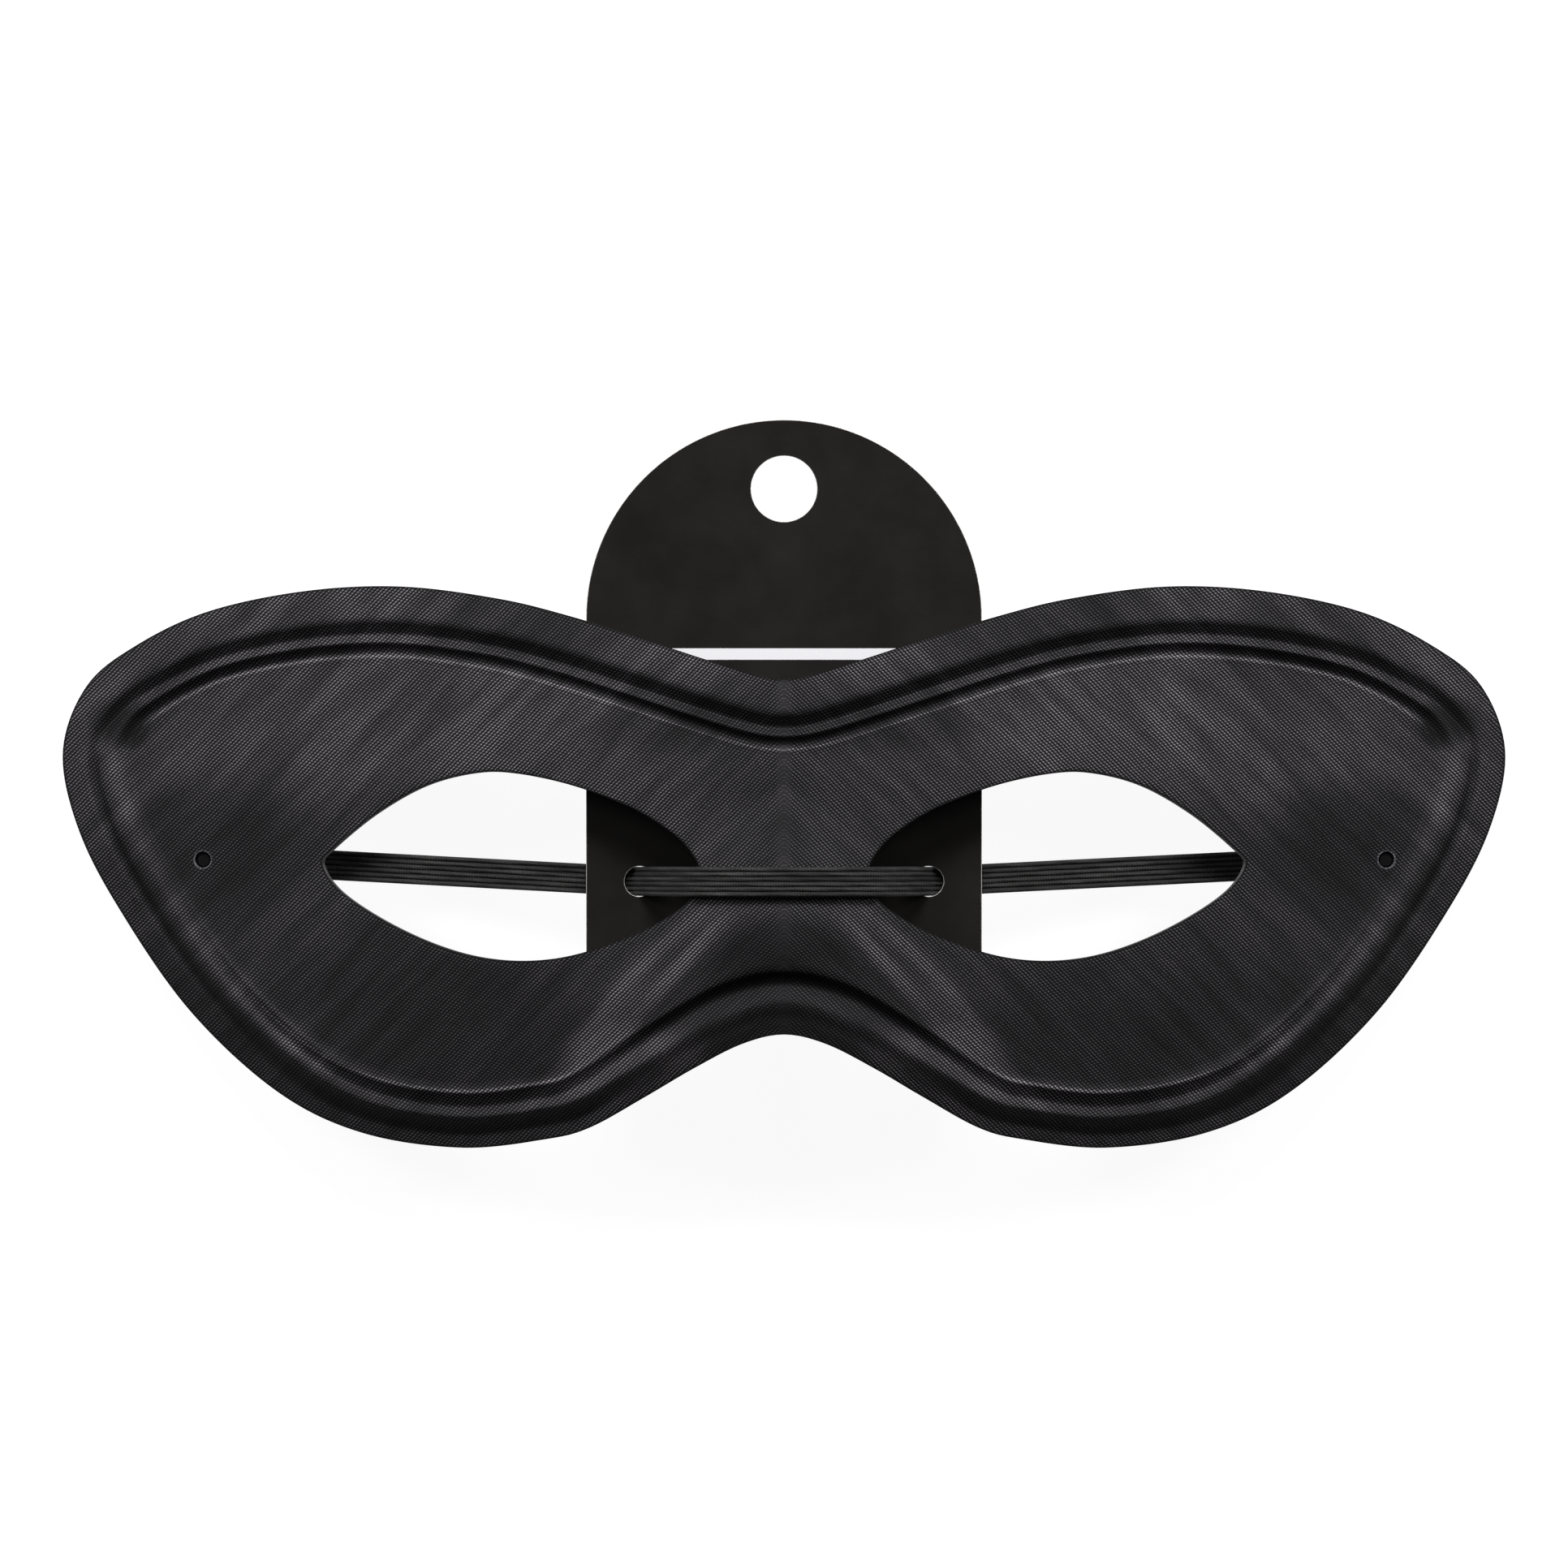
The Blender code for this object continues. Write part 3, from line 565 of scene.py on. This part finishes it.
for pressed_values in drawn_curve(PRESSED_ROWS, False, ROW_STEPS):
    places = pressed_row(cut_edge, pressed_values)
    row = pull_row(bm, row, places, False) if row else start_row(bm, places, False)
    for vertex, (x, y, band) in zip(row, cut_edge):
        inset = BAND_WIDTH * pressed_as(band, pressed_values[0:4])
        vertex[press_layer] = (inset, band, MASK_WIDTH)
low = row[-1].co.y
high = row[0].co.y
nose_line = [bm.verts.new(mask_front(0.0, low + (high - low) * step / NOSE_LINE_STEPS, 0.0, 1.0))
             for step in range(1, NOSE_LINE_STEPS)]
for vertex in nose_line:
    vertex[press_layer] = (MASK_WIDTH, 0.0, MASK_WIDTH)
loop = row + nose_line
for a, b in zip(loop[len(row) - 1:], loop[len(row):] + [loop[0]]):
    bm.edges.new((a, b))
outer = [vertex.co.copy() for vertex in loop]
outer_press = [vertex[press_layer].copy() for vertex in loop]
lift = [point.z - mask_front(point.x, point.y, 0.0, 1.0).z for point in outer]
inner = eye_edge(outer)
for panel_row in range(1, PANEL_ROWS + 1):
    t = panel_row / PANEL_ROWS
    next_places = []
    for start, end, extra in zip(outer, inner, lift):
        at = start.xy.lerp(end, t)
        next_places.append(mask_front(at.x, at.y, extra * (1.0 - t) ** 2, 1.0))
    loop = pull_row(bm, loop, next_places, True)
    for vertex, start, end, press in zip(loop, outer, inner, outer_press):
        reach = (end - start.xy).length
        vertex[press_layer] = (press.x + t * reach, press.y, (1.0 - t) * reach)
half = bm.verts[:] + bm.edges[:] + bm.faces[:]
bmesh.ops.mirror(bm, geom=half, axis="X", merge_dist=0.00001)
bmesh.ops.recalc_face_normals(bm, faces=bm.faces)
if sum(face.normal.z * face.calc_area() for face in bm.faces) < 0.0:
    bmesh.ops.reverse_faces(bm, faces=bm.faces)
node_low, node_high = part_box("mask_shell")
settle = Vector((0.0, node_low.y - min(vertex.co.y for vertex in bm.verts),
                 node_high.z - max(vertex.co.z for vertex in bm.verts)))
bmesh.ops.translate(bm, verts=bm.verts, vec=settle)
for pin_x, pin_up in PIN_PLACES:
    pin_place = Vector((pin_x, pin_up + settle.y))
    punched = {vertex for vertex in bm.verts if (vertex.co.xy - pin_place).length < 1.4 * PIN_HOLE}
    bmesh.ops.subdivide_edges(bm, edges=[edge for edge in bm.edges if punched.issuperset(edge.verts)],
                              cuts=4, use_grid_fill=True)
    inside = [vertex for vertex in bm.verts if (vertex.co.xy - pin_place).length < PIN_HOLE / 2.0]
    bmesh.ops.delete(bm, geom=inside, context="VERTS")
    for vertex in bm.verts:
        away = vertex.co.xy - pin_place
        if vertex.is_boundary and away.length < PIN_HOLE:
            vertex.co.xy = pin_place + away.normalized() * PIN_HOLE / 2.0
mask_surface = BVHTree.FromBMesh(bm)
mask = new_piece("pressed_mask", bm, (mask_cloth(), mask_felt()))
wall = mask.modifiers.new("wall", "SOLIDIFY")
wall.thickness = WALL
wall.offset = -1.0
wall.material_offset = 1
wall.material_offset_rim = 1
worn_edge = mask.modifiers.new("worn_edge", "BEVEL")
worn_edge.width = 0.00022
worn_edge.segments = 2
worn_edge.limit_method = "ANGLE"
worn_edge.angle_limit = math.radians(60.0)
worn_edge.material = 1
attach(mask, "root")
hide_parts("mask_shell")

# The elastic
# A flat braid of six rubber cores wrapped in black yarn. It starts at the left pin behind
# the mask, comes up through the card's left hole, lies over the bridge of the nose and
# goes down through the right hole to the right pin.
ELASTIC_WIDTH = 0.0047
ELASTIC_THICKNESS = 0.0009
ELASTIC_TAIL = 0.0035
ELASTIC_BEND_REACH = 0.0014
ELASTIC_FOLD = 0.98
ELASTIC_RIBS = 6
ELASTIC_RIB_STEPS = 8
ELASTIC_GROOVE = 0.45
ELASTIC_STEP = 0.0007
RIB_WANDER = 0.009
RIB_WANDER_RUN = 0.0097
RIDGE_WANDER = 0.10
RIDGE_WANDER_RUN = 0.005917
YARN_PITCH = 0.00042
YARN_SLANT = 5.0
WORN_STRETCH = 0.10
WORN_SCALE = 900.0
YARN_DARK = (0.003, 0.003, 0.003)
YARN_LIGHT = (0.068, 0.067, 0.066)
ELASTIC_BEND_STEPS = 8
BRIDGE_STEPS = 12
BRIDGE_SLOPE_ALLOWANCE = 1.35
FLAT_AGAIN = 0.25
ROUNDING_LIMIT = 0.45
CLEARANCE = 0.0003
CARD_WIDTH = 0.0625
CARD_THICKNESS = 0.0005
CARD_SLOT_SPACING = 0.0456
CARD_SLOT_UP = 0.0421
card_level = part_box("backing_card")[1].z
slot_line = CARD_SLOT_UP + settle.y


def pin_frame(side, inset):
    """Where a pin sits: its origin on the mask's front, its Z axis square to the front."""
    x = side * (MASK_WIDTH / 2.0 - inset)
    beside = [mask_surface.ray_cast(Vector((x + a * PIN_HOLE, PIN_UP + settle.y + b * PIN_HOLE, 1.0)),
                                    Vector((0.0, 0.0, -1.0)))
              for a, b in ((-1.0, 0.0), (1.0, 0.0), (0.0, -1.0), (0.0, 1.0))]
    place = sum((hit[0] for hit in beside), Vector()) / len(beside)
    normal = sum((hit[1] for hit in beside), Vector()).normalized()
    inwards = Vector((-side, 0.0, 0.0))
    along = (inwards - normal * inwards.dot(normal)).normalized()
    frame_of_pin = Matrix((along, normal.cross(along), normal)).transposed().to_4x4()
    frame_of_pin.translation = place
    return frame_of_pin


def over_the_nose():
    """The elastic over the bridge of the mask as (x, y, z, width), from left to right."""
    edge_x = EYE_SPACING / 2.0 - EYE_WIDTH / 2.0 + ELASTIC_THICKNESS
    lift = BRIDGE_SLOPE_ALLOWANCE * (CLEARANCE + ELASTIC_THICKNESS / 2.0)
    stations = []
    for step in range(BRIDGE_STEPS + 1):
        x = edge_x * (2.0 * step / BRIDGE_STEPS - 1.0)
        tops = []
        for shift in (-0.5, 0.0, 0.5):
            start = Vector((x, slot_line + shift * ELASTIC_WIDTH, 1.0))
            hit = mask_surface.ray_cast(start, Vector((0.0, 0.0, -1.0)))[0]
            if hit:
                tops.append(hit.z)
        stations.append(Vector((x, slot_line, max(tops) + lift, ELASTIC_WIDTH)))
    return stations


def elastic_side(side, pin, near):
    """One side: the pinned end, the run behind the card, and up through its hole."""
    half = ELASTIC_THICKNESS / 2.0
    seat = WALL + CLEARANCE + half
    narrow = ELASTIC_FOLD * ELASTIC_WIDTH
    under = card_level - CARD_THICKNESS - CLEARANCE - half
    slot_x = side * CARD_SLOT_SPACING / 2.0
    in_slot = Vector((slot_x, slot_line, card_level - CARD_THICKNESS / 2.0))
    climb = near.xyz - in_slot
    below = in_slot - climb * ((in_slot.z - under) / climb.z)
    flat_from = below + Vector((side * ELASTIC_WIDTH / 2.0, 0.0, 0.0))
    held = pin @ Vector((0.0, 0.0, -seat))
    outside = (CARD_WIDTH / 2.0 - abs(slot_x)) / (abs(held.x) - abs(slot_x))
    card_edge = Vector((side * CARD_WIDTH / 2.0, slot_line + (held.y - slot_line) * outside,
                        under - CLEARANCE))
    places = (
        (pin @ Vector((-ELASTIC_TAIL, 0.0, -seat - CLEARANCE)), ELASTIC_WIDTH),
        (held, ELASTIC_WIDTH),
        (pin @ Vector((ELASTIC_TAIL, 0.0, -seat - CLEARANCE)), ELASTIC_WIDTH),
        (card_edge, ELASTIC_WIDTH),
        (flat_from, ELASTIC_WIDTH),
        (below, narrow),
        (in_slot, narrow),
        (in_slot + climb * FLAT_AGAIN, ELASTIC_WIDTH),
    )
    return [Vector((*place, width)) for place, width in places]


def rounded_route(stations):
    """The stations as one curve with rounded corners and short, even steps."""
    curve = [stations[0]]
    for before, here, after in zip(stations, stations[1:], stations[2:]):
        start = here.lerp(before, min(ROUNDING_LIMIT, ELASTIC_BEND_REACH / (here - before).length))
        end = here.lerp(after, min(ROUNDING_LIMIT, ELASTIC_BEND_REACH / (here - after).length))
        for step in range(ELASTIC_BEND_STEPS + 1):
            t = step / ELASTIC_BEND_STEPS
            curve.append(start.lerp(here, t).lerp(here.lerp(end, t), t))
    curve.append(stations[-1])
    even = [curve[0]]
    for here, after in zip(curve, curve[1:]):
        steps = max(1, round((after.xyz - here.xyz).length / ELASTIC_STEP))
        even.extend(here.lerp(after, step / steps) for step in range(1, steps + 1))
    return even


def elastic_section():
    """The braid's section as (across, out) shares of its width and thickness."""
    count = ELASTIC_RIBS * ELASTIC_RIB_STEPS
    top = []
    for step in range(1, count):
        ridge = abs(math.sin(math.pi * step / ELASTIC_RIB_STEPS)) ** 0.7
        top.append((0.5 - step / count, 0.5 * (ELASTIC_GROOVE + (1.0 - ELASTIC_GROOVE) * ridge)))
    bottom = [(a, -b) for a, b in top[::-1]]
    return [(0.5, 0.1), *top, (-0.5, 0.1), (-0.5, -0.1), *bottom, (0.5, -0.1)]


def elastic_yarn():
    """Matte black yarn wound in fine slanting turns round each core, with painted shade in the grooves
    between the cores.
    """
    material, tree, shader = new_material("elastic_yarn", 0.78)
    lie = tree.nodes.new("ShaderNodeAttribute")
    lie.attribute_name = "lie"
    split = tree.nodes.new("ShaderNodeSeparateXYZ")
    tree.links.new(lie.outputs["Vector"], split.inputs["Vector"])
    run = split.outputs["X"]
    side = split.outputs["Y"]
    core = maths(tree, "PINGPONG", maths(tree, "MULTIPLY", side, ELASTIC_RIBS), 0.5)
    slant = maths(tree, "ADD", maths(tree, "MULTIPLY", run, 2.0 * math.pi / YARN_PITCH),
                  maths(tree, "MULTIPLY", core, YARN_SLANT))
    turns = maths(tree, "MULTIPLY_ADD", maths(tree, "COSINE", slant), 0.5, 0.5)
    place = tree.nodes.new("ShaderNodeTexCoord").outputs["Object"]
    lint = noise(tree, place, 3200.0, 3.0, 0.6)
    soft = noise(tree, place, 420.0, 2.0)
    shade = maths(tree, "MULTIPLY", maths(tree, "MULTIPLY_ADD", turns, 0.5, 0.5),
                  maths(tree, "MULTIPLY", lint, maths(tree, "MULTIPLY_ADD", soft, 0.8, 0.7)))
    stretch = tree.nodes.new("ShaderNodeCombineXYZ")
    tree.links.new(maths(tree, "MULTIPLY", run, WORN_STRETCH), stretch.inputs["X"])
    tree.links.new(maths(tree, "MULTIPLY", side, ELASTIC_WIDTH), stretch.inputs["Y"])
    worn = noise(tree, stretch.outputs["Vector"], WORN_SCALE, 1.0)
    worn = maths(tree, "MULTIPLY_ADD", worn, 2.6, -0.5)
    # Painted shade: the colour darkens towards the grooves between the cores.
    groove_shade = maths(tree, "MINIMUM", maths(tree, "MULTIPLY_ADD", core, 2.6, 0.02), 1.0)
    yarn_tone_and_groove_shade = maths(tree, "MULTIPLY", maths(tree, "MULTIPLY", shade, worn), groove_shade)
    yarn_tone_and_groove_shade = maths(tree, "MAXIMUM", yarn_tone_and_groove_shade, 0.0)
    tree.links.new(between(tree, yarn_tone_and_groove_shade, YARN_DARK, YARN_LIGHT), shader.inputs["Base Color"])
    shader.inputs["Specular IOR Level"].default_value = 0.25
    shader.inputs["Sheen Weight"].default_value = 0.05
    bump(tree, shader, maths(tree, "MULTIPLY_ADD", turns, 0.6, lint), 0.00012, 0.6)
    return material


pin_left = pin_frame(-1.0, PIN_INSET_LEFT)
pin_right = pin_frame(1.0, PIN_INSET_RIGHT)
bridge = over_the_nose()
route = rounded_route(elastic_side(-1.0, pin_left, bridge[0]) + bridge
                      + elastic_side(1.0, pin_right, bridge[-1])[::-1])
section = elastic_section()
bm = bmesh.new()
lie_layer = bm.verts.layers.float_vector.new("lie")
row = None
run = 0.0
for i, station in enumerate(route):
    before = route[max(i - 1, 0)].xyz
    after = route[min(i + 1, len(route) - 1)].xyz
    along = (after - before).normalized()
    across = (Vector((0.0, 1.0, 0.0)) - along * along.y).normalized()
    out = along.cross(across)
    if i > 0:
        run += (station.xyz - before).length
    places = []
    for a, b in section:
        sway = math.sin(2.0 * math.pi * (run / RIB_WANDER_RUN + 4.3 * a))
        rib = (1.0 - 4.0 * a * a) * RIB_WANDER * sway
        ridge = 1.0 + RIDGE_WANDER * math.sin(2.0 * math.pi * (run / RIDGE_WANDER_RUN + 2.3 * a))
        places.append(station.xyz + across * (a + rib) * station.w + out * b * ridge * ELASTIC_THICKNESS)
    if row is None:
        row = start_row(bm, places, True)
        bmesh.ops.contextual_create(bm, geom=row)
    else:
        row = pull_row(bm, row, places, True)
    for vertex, (a, b) in zip(row, section):
        vertex[lie_layer] = (run, a + 0.5, b)
bmesh.ops.contextual_create(bm, geom=row)
bmesh.ops.recalc_face_normals(bm, faces=bm.faces)
elastic = new_piece("braided_elastic", bm, (elastic_yarn(),))
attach(elastic, "root")
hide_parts("elastic_band")

# The hang card
# Half a millimetre of board, black under a satin varnish and die-cut with a round top, a
# hang hole and two holes for the elastic. Its cut edges show the pale board, and one plain
# pale stripe crosses its front.
CARD_LENGTH = 0.0928
CARD_TOP_UP = 0.1150
CARD_CUT = 0.00009
CARD_STEPS = 96
HANG_HOLE_DIAMETER = 0.0104
HANG_HOLE_DROP = 0.0109
SLOT_DIAMETER = ELASTIC_WIDTH + CLEARANCE / 3.0
STRIPE_TOP_UP = 0.0789
STRIPE_WIDTH = 0.0018
STRIPE_PALE = (0.80, 0.79, 0.82)
CARD_BLACK_DEEP = (0.0048, 0.0036, 0.0030)
CARD_BLACK_WORN = (0.0085, 0.0068, 0.0060)
BOARD_DARK = (0.18, 0.175, 0.17)
BOARD_LIGHT = (0.62, 0.60, 0.58)


def card_print():
    """Black print and varnish with faint handling marks, and the plain pale stripe."""
    material, tree, shader = new_material("card_print", 0.42)
    place = tree.nodes.new("ShaderNodeTexCoord").outputs["Object"]
    split = tree.nodes.new("ShaderNodeSeparateXYZ")
    tree.links.new(place, split.inputs["Vector"])
    up = split.outputs["Y"]
    low = maths(tree, "GREATER_THAN", up, STRIPE_TOP_UP - STRIPE_WIDTH + settle.y)
    high = maths(tree, "LESS_THAN", up, STRIPE_TOP_UP + settle.y)
    front = maths(tree, "GREATER_THAN", split.outputs["Z"], card_level - CARD_THICKNESS / 2.0)
    stripe = maths(tree, "MULTIPLY", maths(tree, "MULTIPLY", low, high), front)
    mottle = noise(tree, place, 90.0, 4.0, 0.6)
    fibre = noise(tree, place, 1800.0, 3.0, 0.6)
    black = between(tree, mottle, CARD_BLACK_DEEP, CARD_BLACK_WORN)
    tree.links.new(between(tree, stripe, black, STRIPE_PALE), shader.inputs["Base Color"])
    shader.inputs["Specular IOR Level"].default_value = 0.35
    rough = maths(tree, "MULTIPLY_ADD", mottle, 0.22, 0.34)
    tree.links.new(rough, shader.inputs["Roughness"])
    bump(tree, shader, maths(tree, "MULTIPLY_ADD", mottle, 0.5, fibre), 0.00003, 0.25)
    return material


def card_board():
    """The pale grey board in the card's cut edges."""
    material, tree, shader = new_material("card_board", 0.9)
    place = tree.nodes.new("ShaderNodeTexCoord").outputs["Object"]
    fibre = noise(tree, place, 2400.0, 4.0, 0.7)
    tree.links.new(between(tree, fibre, BOARD_DARK, BOARD_LIGHT), shader.inputs["Base Color"])
    bump(tree, shader, fibre, 0.00008, 0.6)
    return material


bm = bmesh.new()
corner_y = CARD_TOP_UP - CARD_LENGTH + settle.y
centre_y = CARD_TOP_UP - CARD_WIDTH / 2.0 + settle.y
low_left = bm.verts.new((-CARD_WIDTH / 2.0, corner_y, card_level))
low_right = bm.verts.new((CARD_WIDTH / 2.0, corner_y, card_level))
high_right = bm.verts.new((CARD_WIDTH / 2.0, centre_y, card_level))
high_left = bm.verts.new((-CARD_WIDTH / 2.0, centre_y, card_level))
for pair in ((high_left, low_left), (low_left, low_right), (low_right, high_right)):
    bm.edges.new(pair)
bmesh.ops.spin(bm, geom=[high_right], cent=(0.0, centre_y, card_level), axis=(0.0, 0.0, 1.0),
               angle=math.pi, steps=CARD_STEPS)
holes = (
    (HANG_HOLE_DIAMETER, 0.0, CARD_TOP_UP - HANG_HOLE_DROP),
    (SLOT_DIAMETER, -CARD_SLOT_SPACING / 2.0, CARD_SLOT_UP),
    (SLOT_DIAMETER, CARD_SLOT_SPACING / 2.0, CARD_SLOT_UP),
)
for diameter, x, up in holes:
    bmesh.ops.create_circle(bm, segments=CARD_STEPS, radius=diameter / 2.0,
                            matrix=Matrix.Translation((x, up + settle.y, card_level)))
bmesh.ops.remove_doubles(bm, verts=bm.verts, dist=0.000001)
bmesh.ops.triangle_fill(bm, use_beauty=True, use_dissolve=False, edges=bm.edges[:],
                        normal=(0.0, 0.0, 1.0))
raised = bmesh.ops.extrude_face_region(bm, geom=bm.faces[:])["geom"]
bmesh.ops.translate(bm, verts=[item for item in raised if isinstance(item, bmesh.types.BMVert)],
                    vec=(0.0, 0.0, -CARD_THICKNESS))
bmesh.ops.recalc_face_normals(bm, faces=bm.faces)
for face in bm.faces:
    face.material_index = 0 if abs(face.normal.z) > 0.5 else 1
rims = [edge for edge in bm.edges
        if {face.material_index for face in edge.link_faces} == {0, 1}]
bmesh.ops.bevel(bm, geom=rims, offset=CARD_CUT, offset_type="OFFSET", affect="EDGES", segments=2,
                profile=0.5, material=1)
card = new_piece("hang_card", bm, (card_print(), card_board()))
card.data.set_sharp_from_angle(angle=math.radians(20.0))
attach(card, "root")
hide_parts("backing_card")

# The pins
# Two plain black mouldings, each a post in the mask's hole with a flat head behind the
# elastic's end. They stay as they are built, with a finish of their own.


def pin_plastic():
    """Black moulding with a fine eroded grain."""
    material, tree, shader = new_material("pin_plastic", 0.55)
    place = tree.nodes.new("ShaderNodeTexCoord").outputs["Object"]
    grain = noise(tree, place, 2600.0, 3.0, 0.6)
    tree.links.new(between(tree, grain, (0.0008, 0.0008, 0.0008), (0.0030, 0.0030, 0.0030)),
                   shader.inputs["Base Color"])
    shader.inputs["Specular IOR Level"].default_value = 0.12
    bump(tree, shader, grain, 0.00004, 0.4)
    return material


pin_finish = pin_plastic()
for name in ("strap_pin_left", "strap_pin_right"):
    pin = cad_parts[name]
    pin.data.materials.clear()
    pin.data.materials.append(pin_finish)

# The camera and the light
# A long lens straight above the mask, as in the photograph, soft light from beyond the
# brow and from both sides, and a bright, even floor.
FRAME_WIDTH = 0.24815
LENS = 400.0
SENSOR = 36.0
CAMERA_LEVEL = 0.010
camera_data = bpy.data.cameras.new("camera")
camera_data.lens = LENS
camera_data.sensor_width = SENSOR
camera_data.clip_end = 20.0
camera = bpy.data.objects.new("camera", camera_data)
camera.location = (0.0, 0.0, CAMERA_LEVEL + FRAME_WIDTH * LENS / SENSOR)
bpy.context.collection.objects.link(camera)
bpy.context.scene.camera = camera
bpy.context.scene.view_settings.view_transform = "Standard"

bm = bmesh.new()
bmesh.ops.create_grid(bm, x_segments=8, y_segments=8, size=3.0)
floor_material, floor_tree, floor_shader = new_material("floor", 0.9)
floor_shader.inputs["Base Color"].default_value = (0.22, 0.22, 0.22, 1.0)
floor_shader.inputs["Specular IOR Level"].default_value = 0.0
floor_shader.inputs["Emission Color"].default_value = (1.0, 1.0, 1.0, 1.0)
floor_shader.inputs["Emission Strength"].default_value = 0.93
floor = new_piece("floor", bm, (floor_material,))

LIGHT_REACH = 1.3


def soft_light(name, azimuth, elevation, size, power):
    """A rectangular softbox that looks at the mask; azimuth 0 is beyond the brow."""
    around = math.radians(azimuth)
    above = math.radians(elevation)
    place = Vector((math.cos(above) * math.sin(around), math.cos(above) * math.cos(around),
                    math.sin(above)))
    data = bpy.data.lights.new(name, "AREA")
    data.shape = "RECTANGLE"
    data.size = size[0]
    data.size_y = size[1]
    data.energy = power
    light = bpy.data.objects.new(name, data)
    light.location = place * LIGHT_REACH
    light.rotation_euler = (-place).to_track_quat("-Z", "Y").to_euler()
    bpy.context.collection.objects.link(light)


soft_light("key", 0.0, 36.0, (0.9, 0.35), 20.0)
soft_light("left", -60.0, 32.0, (0.4, 0.4), 6.0)
soft_light("right", 60.0, 32.0, (0.4, 0.4), 6.0)
world = bpy.data.worlds.new("studio")
world.use_nodes = True
world.node_tree.nodes["Background"].inputs["Color"].default_value = (1.0, 1.0, 1.0, 1.0)
world.node_tree.nodes["Background"].inputs["Strength"].default_value = 0.06
bpy.context.scene.world = world

bpy.context.view_layer.update()
